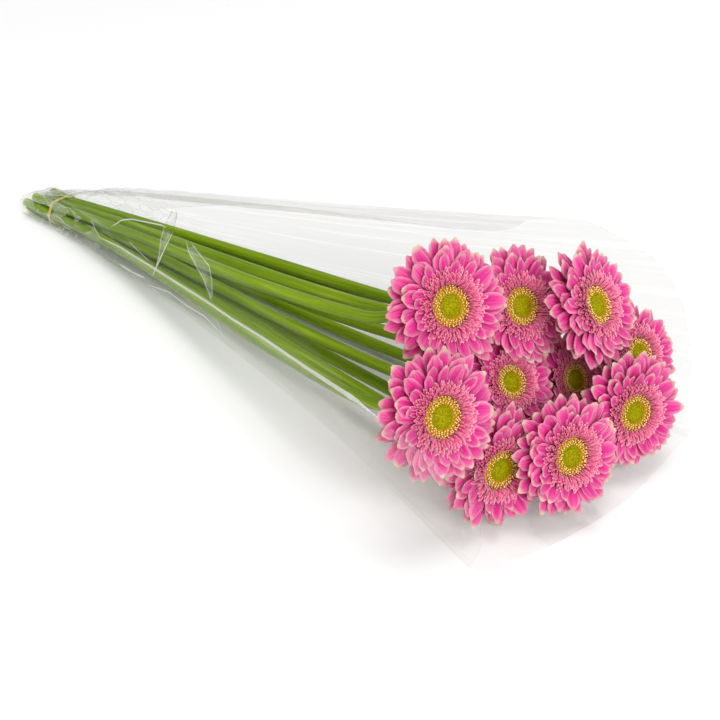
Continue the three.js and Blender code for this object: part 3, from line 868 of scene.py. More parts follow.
def film_finish(look):
    """Clear film: seen through, glossy on its outer face, milky at creases, flaps and crumples; that milk
    is partly painted highlights, reflections and glints, and the far wall's darker tint is painted shade.
    """
    made = Finish("clear_film")
    haze, inside = made.value("haze"), made.value("inside")
    around, along = made.value("around"), made.value("along")
    streaks = made.noise(
        made.vector(made.times(around, 90.0), made.times(along, 2.2), 0.0), 1.0, 5.0, 0.65
    )
    haze = made.plus(haze, made.band(streaks, 0.52, 0.74, 0, look.streak_haze))
    # Crumples: some cells of an uneven pattern turn milky, and some of the lines between them, as painted
    # glints on the crumpled facets.
    place = made.vector(made.times(around, 16.0), made.times(along, 36.0), 0.0)
    cells = {"Vector": place, "Scale": 1.0}
    facets = made.add("TexVoronoi", cells).outputs["Color"]
    facets = made.math("GREATER_THAN", facets, 0.58)
    lines = made.add("TexVoronoi", cells, feature="DISTANCE_TO_EDGE").outputs["Distance"]
    lines = made.times(made.band(lines, 0.0, 0.05, 2.2, 0.0), made.band(streaks, 0.45, 0.55))
    crumples = made.times(made.plus(facets, lines), made.value("crumpled"))
    haze = made.plus(haze, made.times(crumples, look.crumple_glint_share))
    # A mirror at a low angle, faint elsewhere and stronger where the film lies on the floor.
    slant = made.add("LayerWeight", {"Blend": 0.5}).outputs["Facing"]
    slant = made.times(made.math("POWER", slant, 8.0), 0.3)
    low = made.value("low")
    mirror = made.plus(made.plus(slant, 0.015), made.times(low, 0.06))
    mirror = made.math("MINIMUM", mirror, 0.25)
    mirror = made.times(mirror, made.math("SUBTRACT", 1.0, inside))
    # Painted shade: the far wall and the top take a darker tint than the near wall, so they show grey over
    # the white floor.
    tint = made.mix(made.value("far"), opaque(look.near_tint), opaque(look.shaded_far_tint))
    tint = made.mix(made.band(streaks, 0.5, 0.62, 0, 0.8), tint, (1, 1, 1, 1))
    clear = made.add("BsdfTransparent", {"Color": tint}).outputs[0]
    blur = made.band(low, 0.0, 1.0, 0.07, 0.3)
    gloss = made.add("BsdfGlossy", {"Color": (1, 1, 1, 1), "Roughness": blur}).outputs[0]
    skin = made.add("MixShader", {0: mirror, 1: clear, 2: gloss}).outputs[0]
    milk = (0.97, 0.97, 0.96, 1)
    front = made.add("BsdfDiffuse", {"Color": milk}).outputs[0]
    through = made.add("BsdfTranslucent", {"Color": milk}).outputs[0]
    veil = made.add("MixShader", {0: 0.5, 1: front, 2: through}).outputs[0]
    return made.finish(made.add("MixShader", {0: haze, 1: skin, 2: veil}).outputs[0])


# ---- settings ----


def colour_setting(name, text, default):
    """A colour property."""
    return bpy.props.FloatVectorProperty(
        name=name, description=text, default=default, subtype="COLOR", size=3, min=0, max=1
    )


def share_setting(name, text, default):
    """A property from 0 to 1."""
    return bpy.props.FloatProperty(name=name, description=text, default=default, min=0, max=1)


def angle_setting(name, text, degrees):
    """An angle property, given in degrees."""
    return bpy.props.FloatProperty(
        name=name, description=text, default=math.radians(degrees), subtype="ANGLE", unit="ROTATION"
    )


def power_setting(name, text, default):
    """A light's power in watts."""
    return bpy.props.FloatProperty(
        name=name, description=text, default=default, min=0, unit="POWER"
    )


def length_setting(name, text, default):
    """A length property in metres."""
    return bpy.props.FloatProperty(
        name=name, description=text, default=default, min=0, unit="LENGTH", subtype="DISTANCE"
    )


class BloomLook(bpy.types.PropertyGroup):
    """Sizes and colours of the blooms."""

    ray_width: length_setting("Ray width", "Widest part of a ray floret", 0.012)
    ray_thickness: length_setting("Ray thickness", "Thickness of a ray floret", 0.0005)
    ray_deep: colour_setting("Ray root", "Deep pink at a ray's root", (0.58, 0.003, 0.19))
    ray_mid: colour_setting("Ray blade", "Pink of a ray's blade", (0.87, 0.030, 0.32))
    ray_pale: colour_setting("Ray pale", "Pale pink towards a ray's tip", (0.90, 0.24, 0.47))
    ray_rim: colour_setting("Ray rim", "Pale edge of a ray", (0.98, 0.74, 0.72))
    ray_tip: colour_setting("Ray tip", "Greenish cream at the tip", (0.88, 0.76, 0.52))
    ray_under: colour_setting("Ray underside", "Paler underside of a ray", (0.90, 0.45, 0.53))
    fringe_deep: colour_setting("Fringe deep", "Rose inside the fringe", (0.70, 0.02, 0.19))
    fringe_mid: colour_setting("Fringe rose", "Lighter rose of the fringe", (0.86, 0.11, 0.33))
    fringe_pale: colour_setting("Fringe lip", "Pale lips of the fringe", (0.95, 0.60, 0.66))
    fringe_inner: colour_setting("Fringe inner", "Dusty cream-pink inner rows", (0.92, 0.60, 0.55))
    disc_deep: colour_setting("Disc deep", "Green between the disc's buds", (0.21, 0.195, 0.001))
    disc_bright: colour_setting("Disc bright", "Yellow-green of the disc", (0.42, 0.38, 0.002))
    anther_brown: colour_setting("Anther brown", "Amber at the anthers' feet", (0.42, 0.22, 0.015))
    anther_gold: colour_setting("Anther gold", "Gold of the anthers", (0.78, 0.42, 0.015))
    pollen: colour_setting("Pollen", "Pale pollen on the anthers", (0.92, 0.70, 0.27))


class StemLook(bpy.types.PropertyGroup):
    """Sizes and colours of the stems and their tie."""

    base_radius: length_setting("Base radius", "Stem radius at the cut", 0.004)
    neck_radius: length_setting("Neck radius", "Stem radius under the bloom", 0.0035)
    stem_swell: length_setting("Swell", "How much stouter a stem is midway", 0.001)
    hair_length: length_setting("Hair length", "Length of the stem's hairs", 0.0009)
    stem_green: colour_setting("Stem green", "Fresh green of the stem", (0.25, 0.37, 0.004))
    stem_shade: colour_setting("Stem shade", "Darker streaks of the stem", (0.12, 0.22, 0.001))
    stem_pale: colour_setting("Stem pale", "Pale streaks of the stem", (0.42, 0.56, 0.16))
    cut_pale: colour_setting("Cut face", "Pale pith at the cut", (0.55, 0.56, 0.24))
    band_tan: colour_setting("Band tan", "Rubber band", (0.44, 0.36, 0.03))
    band_pale: colour_setting("Band dust", "Dusty places of the band", (0.64, 0.54, 0.16))


class FilmLook(bpy.types.PropertyGroup):
    """Thickness, folds and clearness of the sleeve."""

    thickness: length_setting("Thickness", "Thickness of the film", 0.00015)
    fold_depth: length_setting("Fold depth", "Depth of the soft lengthwise folds", 0.003)
    crumple_depth: length_setting("Crumple depth", "Depth of the small folds", 0.0014)
    film_haze: share_setting("Haze", "Milky share of the film", 0.003)
    streak_haze: share_setting("Streaks", "Milky share of the fine lengthwise streaks", 0.02)
    # The crumples' milk stands for painted glints on their facets.
    crumple_glint_share: share_setting("Crumples", "Milky share of the crumples near the tie", 0.15)
    near_tint: colour_setting("Near tint", "Light through the near wall", (0.985, 0.985, 0.982))
    # Painted shade: the far wall and the top take a darker tint than the near wall.
    shaded_far_tint: colour_setting("Far tint", "Light through the far wall and the top", (0.950, 0.948, 0.945))


class StageLook(bpy.types.PropertyGroup):
    """Floor, light and camera."""

    floor_colour: colour_setting("Floor", "Plain pale floor", (0.88, 0.88, 0.88))
    top_power: power_setting("Top light", "Power of the soft light from above", 105)
    face_power: power_setting("Face light", "Power of the soft light on the blooms' faces", 192)
    sky_strength: bpy.props.FloatProperty(
        name="Surround", description="Brightness of the white surround", default=0.6, min=0
    )
    camera_place: bpy.props.FloatVectorProperty(
        name="Camera place", description="Where the camera stands", size=3,
        default=(0.5695, -0.5605, 0.536), subtype="TRANSLATION", unit="LENGTH",
    )
    camera_turn: angle_setting("Camera turn", "Turn of the view from +Y towards -X", 40)
    camera_height: angle_setting("Camera elevation", "How steeply the camera looks down", 35)
    lens: bpy.props.FloatProperty(
        name="Lens", description="Focal length on a 36 mm sensor", default=60, min=1, unit="CAMERA"
    )


# ---- pieces ----


def ray_shape(head, rays, look):
    """All ray florets of one head, each a thin grooved blade with a rounded, notched tip."""
    shape = Shape()
    random = np.random.RandomState(900 + head.number)
    spans = np.sin(np.linspace(-1, 1, RAY_COLUMNS) * math.pi / 2)
    # Rows closer together towards the tip.
    rows = np.linspace(0, 1, RAY_ROWS) ** 0.8
    fine = np.linspace(0, 1, RAY_LINE_STEPS)
    hinge = (RAY_HINGE - RAY_ROOT) / (1 - RAY_ROOT)
    for ray in rays:
        notch = random.uniform(0.012, 0.035)
        teeth = random.choice([1.0, 1.5])
        round_off = random.uniform(0.12, 0.18)
        ends = 1 - round_off * np.abs(spans) ** 2.6 - notch * np.cos(teeth * math.pi * spans) ** 4
        share = rows[:, None] * ends[None] / ends.max()
        bent = smooth_step(hinge - 0.1, hinge + 0.12, fine)
        free = np.maximum(0, (fine - hinge) / (1 - hinge))
        curl = random.uniform(-16, 22) * np.maximum(0, free - 0.6) ** 2 * 4
        tilt = np.radians(ray["rise"] + ray["bend"] * bent + ray["arch"] * free + curl)
        step = ray["length"] / (len(fine) - 1)
        radius = ray["from"] + step * np.concatenate([[0], np.cumsum(np.cos(tilt[1:]))])
        height = ray["root"] + step * np.concatenate([[0], np.cumsum(np.sin(tilt[1:]))])
        half = BLADE_SHARE * ray["width"] / 2 * np.interp(share, *WIDTH_SHARES)
        cup = mix(random.uniform(0.15, 0.3), random.uniform(-0.5, 0.2), smooth_step(0.3, 0.9, share))
        groove = 0.24 * np.cos(3 * math.pi * spans) * smooth_step(0.15, 0.5, share) * (half / 6)
        sway = random.uniform(-1.4, 1.4) * share**2
        twist = random.uniform(-0.22, 0.22) * share
        ripple = 0.25 * np.sin(share * random.uniform(9, 15) + random.uniform(0, 6)) * np.abs(spans) ** 3
        lift = half * (cup * spans**2 + twist * spans) + groove + ripple
        add_straps(
            shape, head, ray["turn"],
            np.interp(share, fine, radius)[None], np.interp(share, fine, height)[None],
            np.interp(share, fine, tilt)[None], (half * spans + sway)[None], lift[None],
            look.ray_thickness / MM * mix(1, 0.6, share),
            along=np.clip(share / ends.max(), 0, 1)[None],
            across=np.broadcast_to(spans, share.shape)[None], tone=random.uniform(0, 1),
        )
    return shape


def core_shape(shape, head):
    """The receptacle that the rays grow from, hidden under the fringe."""
    core = CORE_RADIUS * head.radius
    profile = [(0.7, -4.6), (0.85, -4.2), (1, -2), (0.97, 0.4), (0.88, 1.2)]
    rings = np.stack([head.place(ring_turns(40), core * r, 0, h) for r, h in profile])
    add_tube(shape, rings, along=0.3, across=0.0, tone=0.5, under=0.0)


def fringe_shape(head):
    """The rows of short inner florets: narrow channelled straps with rounded, upturned tips."""
    shape = Shape()
    random = np.random.RandomState(300 + head.number)
    rows, columns = 7, 5
    spans = np.linspace(-1, 1, columns)
    steps = np.linspace(0, 1, rows)
    for number, row in enumerate(FRINGE_ROWS):
        count = row["count"]
        even = (np.arange(count) + 0.5 * (number % 2)) / count
        turn = (even + random.uniform(-0.3, 0.3, count) / count) * 2 * math.pi
        turn = turn[:, None, None]
        reach = random.uniform(-0.02, row.get("uneven", 0.02), count)[:, None, None]
        raise_by = random.normal(0, 0.35, count)[:, None, None]
        share = steps[None, :, None] * (1 - 0.12 * np.abs(spans) ** 2)[None, None]
        root, tip = row["root"], row["tip"]
        r0, r2 = root[0] * head.radius, (tip[0] + reach) * head.radius
        h0, h2 = root[1], tip[1] + raise_by
        # Each floret first rises and then leans out, with its lip turned up.
        out, height, tilt = bent_line((r0, mix(r0, r2, 0.3), r2), (h0, mix(h0, h2, 0.85), h2), share)
        half = row["width"] / 2 * np.interp(share, [0, 0.4, 0.8, 0.93, 1], [0.5, 0.75, 1, 0.9, 0.55])
        lean = random.uniform(-0.7, 0.7, count)[:, None, None] * share**2
        lip = 0.55 * smooth_step(0.7, 1, share) * (1 - 0.4 * spans**2)
        lift = half * 0.55 * spans**2 + lip
        add_straps(
            shape, head, turn, out, height, tilt, half * spans + lean, lift, 0.28,
            along=share, across=np.broadcast_to(spans, share.shape),
            tone=random.uniform(0, 1, count)[:, None, None],
            pale=np.full(share.shape, max(0.0, number - 4) / 5),
        )
    return shape


def eye_shape(head):
    """The disc of buds in a spiral and the rows of anthers, on a low domed bed."""
    shape = Shape()
    random = np.random.RandomState(70 + head.number)
    r = head.radius
    turn = ring_turns(48)
    rings = np.stack([head.place(turn, r * share, 0, height) for share, height in EYE_BED])
    add_tube(shape, rings, along=0.2, tone=0.2,
             anther=np.repeat([share > BED_ANTHER_START for share, _ in EYE_BED], len(turn)))
    place = np.sqrt((np.arange(DISC_BUDS) + 0.5) / DISC_BUDS)
    spin = np.arange(DISC_BUDS) * GOLDEN_TURN
    out = place * DISC_RADIUS * r
    dome = np.interp(out / r, [0, 0.09, 0.17], [4.5, 4.2, 3.4])
    feet = head.place(spin, out, 0, dome - 0.35)
    size = mix(0.36, 0.5, place)
    add_knobs(shape, feet, np.tile(head.facing, (DISC_BUDS, 1)), size, mix(0.75, 1.1, place),
              [(1, 0), (1, 0.35), (0.72, 0.8), (0.25, 1)], 6, tone=random.uniform(0, 1, DISC_BUDS),
              anther=0.0)
    for number, row in enumerate(ANTHER_ROWS):
        count = row["count"]
        angle = (np.arange(count) + 0.5 * (number % 2) + random.uniform(-0.25, 0.25, count)) / count
        angle *= 2 * math.pi
        out = (row["radius"] + random.uniform(-0.007, 0.007, count)) * r
        feet = head.place(angle, out, 0, row["foot"])
        tops = head.place(angle + random.uniform(-0.05, 0.05, count), out * 1.03, 0, row["foot"] + 3)
        axes = (tops - feet) / np.linalg.norm(tops - feet, axis=1)[:, None]
        height = row["height"] * random.uniform(0.75, 1.15, count)
        add_knobs(shape, feet, axes, random.uniform(0.34, 0.46, count), height,
                  [(0.8, 0), (0.8, 0.55), (1.15, 0.72), (1.05, 0.9), (0.4, 1)], 7,
                  tone=random.uniform(0, 1, count), anther=1.0)
    return shape


def stem_rings(head, look):
    """Rings round the stem's middle line, with faint lengthwise ribs."""
    shares = np.concatenate([[0, 0.004], np.linspace(0.01, 1, STEM_STEPS) ** 0.9])
    small = 0.002
    turn = ring_turns(STEM_SIDES)
    rings = []
    for share in shares:
        low, high = max(0, share - small), min(1, share + small)
        along = head.stem_point(high) - head.stem_point(low)
        along = head.facing if share > 1 - small else along / np.linalg.norm(along)
        side = np.cross([0, 0, 1], along)
        side /= np.linalg.norm(side)
        up = np.cross(along, side)
        swell = look.stem_swell * math.sin(math.pi * max(0, (share - SWELL_START) / (1 - SWELL_START)))
        radius = (mix(look.base_radius, look.neck_radius, share) + swell) / MM
        radius *= 1 + 0.012 * np.cos(STEM_RIBS * turn) + 0.01 * math.sin(share * 37 + head.number)
        if share == 0:
            radius *= 0.93
        rings.append(
            head.stem_point(share) + (np.cos(turn) * radius)[:, None] * side
            + (np.sin(turn) * radius)[:, None] * up
        )
    return shares, turn, np.array(rings)


def stem_shape(head, look):
    """One stem with its cut face, hairs, receptacle cup and three rows of bracts."""
    shape = Shape()
    random = np.random.RandomState(40 + head.number)
    shares, turn, rings = stem_rings(head, look)
    neck = look.neck_radius / MM
    profile = [(neck + 0.3, -16.2), (4.3, -14.8), (5.8, -12.6), (7.2, -10.2), (8.2, -7.8), (8.5, -5.6)]
    cup = np.stack([head.place(turn, r, 0, h) for r, h in profile])
    whole = np.concatenate([rings, cup])
    along = np.concatenate([shares, np.ones(len(profile))])
    cut = np.zeros(len(along))
    cut[0] = 1
    around = np.broadcast_to(turn / (2 * math.pi), (len(along), STEM_SIDES))
    add_tube(shape, whole, along=np.repeat(along, STEM_SIDES), around=around,
             part=np.repeat(cut, STEM_SIDES), tone=head.number / 10)
    add_bracts(shape, head, random)
    add_hairs(shape, rings, shares, look.hair_length / MM, random)
    return shape


def add_bracts(shape, head, random):
    """Narrow pointed bracts that overlap up the cup."""
    rows, columns = 8, 5
    spans = np.linspace(-1, 1, columns)[None, None]
    share = np.linspace(0, 1, rows)[None, :, None] * np.ones((1, 1, columns))
    for number, row in enumerate(BRACT_ROWS):
        count = row["count"]
        turn = (np.arange(count) + 0.5 * (number % 2) + random.uniform(-0.15, 0.15, count)) / count
        turn = turn[:, None, None] * 2 * math.pi
        (r0, h0), (r2, h2) = row["root"], row["tip"]
        out, height, tilt = bent_line((r0, mix(r0, r2, 0.62), r2), (h0, mix(h0, h2, 0.4), h2), share)
        half = row["width"] / 2 * np.interp(share, [0, 0.35, 0.8, 1], [0.9, 1, 0.6, 0.12])
        add_straps(
            shape, head, turn, out, height, tilt, half * spans, 0.3 * half * spans**2 + 0.45, 0.35,
            along=mix(0.9, 1, share), around=np.broadcast_to(0.5 + 0.1 * spans, share.shape),
            part=0.25 * smooth_step(0.8, 1, share), tone=random.uniform(0, 1, count)[:, None, None],
        )


def add_hairs(shape, rings, shares, length, random):
    """Short fine hairs that stand off the stem, closer together towards the bloom."""
    rows, sides, _ = rings.shape
    where = 1 - random.uniform(0, 1, HAIRS_PER_STEM) ** 1.6
    row = np.clip(np.searchsorted(shares, where), 3, rows - 2)
    column = random.randint(0, sides, HAIRS_PER_STEM)
    middle = rings.mean(1)[row]
    foot = rings[row, column]
    out = foot - middle
    out /= np.linalg.norm(out, axis=1)[:, None]
    ahead = rings.mean(1)[row + 1] - middle
    ahead /= np.linalg.norm(ahead, axis=1)[:, None]
    axis = out + ahead * random.uniform(-0.3, 0.6, HAIRS_PER_STEM)[:, None]
    axis /= np.linalg.norm(axis, axis=1)[:, None]
    keep = foot[:, 2] + axis[:, 2] * length > 0.3
    add_knobs(shape, (foot - 0.1 * out)[keep], axis[keep], HAIR_RADIUS,
              length * random.uniform(0.6, 1, HAIRS_PER_STEM)[keep],
              [(1, 0), (0.15, 1)], 3, around=0.5, part=0.6, tone=0.5)


def bundle_outline(x, grow, radius):
    """The tied bundle's outline: an arc round each of its six corner stems."""
    corners = [bundle_place(0, base)[1:] for base in BUNDLE_CORNERS]
    points = []
    for k, corner in enumerate(corners):
        before, after = corners[k - 1], corners[(k + 1) % len(corners)]
        first = math.atan2(*(corner - before)[::-1]) - math.pi / 2
        turn = (math.atan2(*(after - corner)[::-1]) - math.pi / 2 - first) % (2 * math.pi)
        for share in np.linspace(0, 1, 8):
            angle = first + share * turn
            y, z = corner + (radius + grow) * np.array([math.cos(angle), math.sin(angle)])
            points.append((x, y, z))
    return np.array(points)


def band_shape():
    """The rubber band, wound three times round the bundle."""
    shape = Shape()
    cord = BAND_CORD_RADIUS
    sides = BAND_CORD_SIDES
    angle = ring_turns(sides)
    for lane, skew in BAND_TURNS:
        line = bundle_outline(BAND_X + lane, BAND_GAP + cord, SOLID_STEM_RADIUS)
        line[:, 0] += skew * np.sin(np.arange(len(line)) / len(line) * 2 * math.pi)
        ahead = np.roll(line, -1, 0) - np.roll(line, 1, 0)
        ahead /= np.linalg.norm(ahead, axis=1)[:, None]
        out = np.cross(ahead, [1, 0, 0])
        ring = (
            line[:, None]
            + cord * np.cos(angle)[None, :, None] * out[:, None]
            + cord * np.sin(angle)[None, :, None] * np.array([1, 0, 0])
        )
        count = len(line)
        quads = grid_quads(count + 1, sides, wrap=True) % (count * sides)
        shape.add(ring, [quads])
    return shape


# ---- film ----


def guide_values(around):
    """The guide rows as a smooth closed run: start on the narrow ring, mouth point, reach."""
    count = len(GUIDES)
    place = np.asarray(around) * count
    first = np.floor(place).astype(int)
    s = place - first
    table = np.array([[g[0], g[1], *g[2], g[3]] for g in GUIDES], float)
    a, b, c, d = (table[(first + step) % count] for step in (-1, 0, 1, 2))
    s = s[..., None]
    row = 0.5 * (
        2 * b + (c - a) * s + (2 * a - 5 * b + 4 * c - d) * s**2 + (3 * b - a - 3 * c + d) * s**3
    )
    across, rise = row[..., 0], np.maximum(-1, row[..., 1])
    start = np.stack([
        np.full(across.shape, float(NARROW_X)),
        BUNDLE_CENTRE_Y + across * NARROW_HALF_WIDTH,
        NARROW_HALF_HEIGHT * (1 + rise),
    ], -1)
    end = row[..., 2:5].copy()
    end[..., 2] = np.maximum(0, end[..., 2])
    return start, end, row[..., 5]


def film_surface(around, along):
    """Points of the film's outer face, at shares around and along it."""
    start, end, reach = guide_values(around)
    share = along * reach
    return np.stack([
        mix(start[..., 0], end[..., 0], share),
        np.maximum(NEAR_SIDE_Y, mix(start[..., 1], end[..., 1], share**SPREAD_POWER)),
        mix(start[..., 2], end[..., 2], share),
    ], -1)


def nearest_tree(names):
    """A search tree of the vertices of these pieces, in working millimetres."""
    points = []
    for name in names:
        data = bpy.data.objects[name].data
        flat = np.zeros(len(data.vertices) * 3, np.float32)
        data.vertices.foreach_get("co", flat)
        points.append(flat.reshape(-1, 3)[::3] / MM + ORIGIN)
    points = np.concatenate(points)
    tree = kdtree.KDTree(len(points))
    for number, point in enumerate(points):
        tree.insert(point, number)
    tree.balance()
    return tree


def film_shape(look, tree, sight):
    """The sleeve: a surface with soft folds pressed into it; creases, flaps and a rim lie on it."""
    around = (np.arange(FILM_AROUND) / FILM_AROUND)[None].repeat(FILM_ALONG, 0)
    along = np.linspace(0, 1, FILM_ALONG)[:, None].repeat(FILM_AROUND, 1)
    outer = film_surface(around, along)
    sideways = np.roll(outer, -1, 1) - np.roll(outer, 1, 1)
    down = np.gradient(outer, axis=0)
    inward = np.cross(down, sideways)
    inward /= np.linalg.norm(inward, axis=2)[..., None]
    inward[outer[..., 2] < 1e-6] = (0, 0, 1)
    fold = film_folds(around, along, outer, look)
    room = np.zeros(fold.shape)
    for i in range(FILM_ALONG):
        for j in range(FILM_AROUND):
            room[i, j] = tree.find(outer[i, j])[2]
    fold += TIE_PULL * (1 - smooth_step(0.0, TIE_PULL_END, along)) * (outer[..., 2] > 1)
    fold = np.minimum(fold, np.maximum(0, room - FILM_CLEAR))
    outer = outer + inward * (fold + FILM_INSET)[..., None]
    inner = outer + inward * (look.thickness / MM)
    veil = film_veil(around, along, look)
    shape = Shape()
    rows = np.concatenate([outer, inner[::-1]])
    size = len(rows) * FILM_AROUND
    quads = (grid_quads(len(rows) + 1, FILM_AROUND, wrap=True) % size)[:, ::-1]
    values = {
        "haze": veil, "around": around, "along": along,
        # The far mask picks the darker tint of the painted shade.
        "far": stretch(*SHADED_FAR_STRETCH, around * len(GUIDES)),
        "crumpled": 1 - smooth_step(*CRUMPLED_SHARES, along),
        "low": outer[..., 2] < 0.5,
    }
    values = {name: np.concatenate([value, value[::-1]]) for name, value in values.items()}
    shape.add(rows, [quads], inside=np.arange(size) >= size // 2, **values)
    faces = grid_quads(FILM_ALONG, FILM_AROUND, wrap=True)
    cast = sight.cast_on(outer.reshape(-1, 3), faces)
    for crease in CREASES:
        places, normals = cast(crease["line"])
        for part in whole_parts(places):
            add_crease(shape, places[part], normals[part], crease["width"], crease["haze"])
    for flap in FLAPS:
        add_flap(shape, cast, flap)
    add_rim(shape, outer[-1])
    return shape


def film_folds(around, along, outer, look):
    """How far the film is pressed in: soft folds down its length and crumples near the tie."""
    turn = around * 2 * math.pi
    folds = np.zeros(around.shape)
    for number, (count, phase, drift) in enumerate(FOLDS):
        folds += (0.5 + 0.5 * np.sin(turn * count + phase + drift * along * 2)) ** 2 / (number + 1)
    folds *= look.fold_depth / MM * smooth_step(0, 0.2, along)
    folds *= 1 - 0.6 * smooth_step(0.6, 1, along)
    crumple = np.zeros(around.shape)
    for angle, pitch, phase in CRUMPLES:
        way = math.radians(angle)
        run = outer[..., 0] * math.cos(way) + (outer[..., 1] + outer[..., 2]) * math.sin(way)
        crumple += (1 - np.abs(np.sin(run / pitch * math.pi + phase))) ** 3
    crumple *= look.crumple_depth / MM * mix(1, 0.12, smooth_step(0.2, 0.5, along))
    return folds + crumple


def film_veil(around, along, look):
    """The milky share of the film: a trace all over, and a little more over the top of the stems as a
    painted sheen.
    """
    top = stretch(*TOP_SHEEN_STRETCH, around * len(GUIDES)) * (1 - smooth_step(0.6, 0.8, along))
    return look.film_haze + TOP_SHEEN * top


class Sight:
    """Lines of sight from the camera through points of the 720 by 720 picture."""

    def __init__(self, look):
        turn, height = look.camera_turn, look.camera_height
        self.place = np.array(look.camera_place) / MM + ORIGIN
        self.ahead = np.array([
            -math.sin(turn) * math.cos(height), math.cos(turn) * math.cos(height), -math.sin(height)
        ])
        self.right = np.array([math.cos(turn), math.sin(turn), 0])
        self.up = np.cross(self.right, self.ahead)
        self.focal = look.lens / SENSOR * PICTURE

    def line(self, pixel):
        """The direction through one point of the picture."""
        across, down = (np.asarray(pixel, float) - PICTURE / 2) / self.focal
        way = self.ahead + across * self.right - down * self.up
        return way / np.linalg.norm(way)

    def cast_on(self, points, faces):
        """A function that lays a run of picture points on this surface: places and normals."""
        tree = BVHTree.FromPolygons([Vector(p) for p in points], faces.tolist())

        def cast(pixels, count=None):
            run = even_run(pixels, count)
            hits = [tree.ray_cast(Vector(self.place), Vector(self.line(p))) for p in run]
            hits = [hit for hit in hits if hit[0] is not None]
            places = np.array([hit[0] for hit in hits]).reshape(-1, 3)
            normals = np.array([hit[1] for hit in hits]).reshape(-1, 3)
            facing = np.sum((self.place - places) * normals, axis=1)
            return places, normals * np.sign(facing)[:, None]

        return cast


def even_run(pixels, count=None):
    """A run of picture points through the given ones, so many or one every RUN_STEP."""
    pixels = np.array(pixels, float)
    lengths = np.concatenate([[0], np.cumsum(np.linalg.norm(np.diff(pixels, axis=0), axis=1))])
    at = np.linspace(0, lengths[-1], count or max(4, int(lengths[-1] / RUN_STEP)))
    return np.stack([np.interp(at, lengths, pixels[:, k]) for k in (0, 1)], 1)


def whole_parts(places):
    """The parts of a run, or of a strip's rows, that each lie on one wall: three places long or more."""
    if len(places) < 3:
        return []
    steps = np.linalg.norm(np.diff(places, axis=0), axis=-1).reshape(len(places) - 1, -1)
    cuts = [0, *(np.flatnonzero(steps.max(axis=1) > WALL_LEAP) + 1), len(places)]
    return [slice(start, stop) for start, stop in zip(cuts, cuts[1:]) if stop - start > 2]


def add_crease(shape, places, normals, width, haze):
    """A thin doubled ridge of film along a run of places, tapered at both ends."""
    ahead = np.gradient(places, axis=0)
    ahead /= np.linalg.norm(ahead, axis=1)[:, None]
    side = np.cross(normals, ahead)
    side /= np.linalg.norm(side, axis=1)[:, None]
    share = np.linspace(0, 1, len(places))
    half = width / 2 * np.minimum(1, np.minimum(share, 1 - share) * 8 + 0.15)
    angle = ring_turns(CREASE_SIDES)
    rings = (
        places[:, None]
        + (half[:, None] * np.cos(angle))[..., None] * side[:, None]
        + (CREASE_FLATNESS * half[:, None] * np.sin(angle))[..., None] * normals[:, None]
    )
    # Painted highlight: the ridge's milk partly stands for the light that the crease catches.
    add_tube(shape, rings, haze=haze, inside=0.0)


def add_flap(shape, cast, flap):
    """A doubled patch of film between two runs of picture points."""
    rows, columns = flap["grid"]
    edges = [even_run(flap[side], rows) for side in ("left", "right")]
    share = np.linspace(0, 1, columns)
    places, normals = zip(*(cast(mix(edges[0], edges[1], part), rows) for part in share))
    if any(len(run) != rows for run in places):
        raise RuntimeError("A doubled patch runs off the film.")
    outer = np.stack(places, 1) + FLAP_LIFT * np.stack(normals, 1)
    inner = outer - FLAP_THICKNESS * np.stack(normals, 1)
    down = np.linspace(0, 1, rows)[:, None]
    # Painted reflection: a flap's milk is partly the sheen of the bright surround on the doubled film.
    haze = np.interp(share, np.linspace(0, 1, len(flap["haze"])), flap["haze"])
    uneven = 1 + 0.4 * np.sin(19 * down + 5 * share)
    haze = haze * uneven * (1 - smooth_step(*flap["fade"], down))
    for part in whole_parts(outer):
        shape.add(np.stack([outer[part], inner[part]]),
                  [strap_faces(part.stop - part.start, columns)], inside=1.0,
                  haze=np.stack([haze[part], haze[part]]))


def add_rim(shape, rim):
    """The cut edge of the mouth, where the film shows a little more."""
    ahead = np.roll(rim, -1, 0) - np.roll(rim, 1, 0)
    ahead /= np.linalg.norm(ahead, axis=1)[:, None]
    side = np.cross(ahead, [0, 0, 1])
    side /= np.linalg.norm(side, axis=1)[:, None]
    other = np.cross(side, ahead)
    angle = ring_turns(RIM_SIDES)
    rings = (
        rim[:, None]
        + RIM_RADIUS * np.cos(angle)[None, :, None] * side[:, None]
        + RIM_RADIUS * np.sin(angle)[None, :, None] * other[:, None]
    )
    rings[..., 2] = np.maximum(0.05, rings[..., 2])
    size = len(rim) * RIM_SIDES
    hazy = stretch(*HAZY_RIM_STRETCH, np.arange(len(rim)) / len(rim) * len(GUIDES))
    shape.add(rings, [grid_quads(len(rim) + 1, RIM_SIDES, wrap=True) % size],
              haze=np.repeat(RIM_HAZE * hazy, RIM_SIDES), inside=np.repeat(1 - hazy, RIM_SIDES))


# ---- stage ----


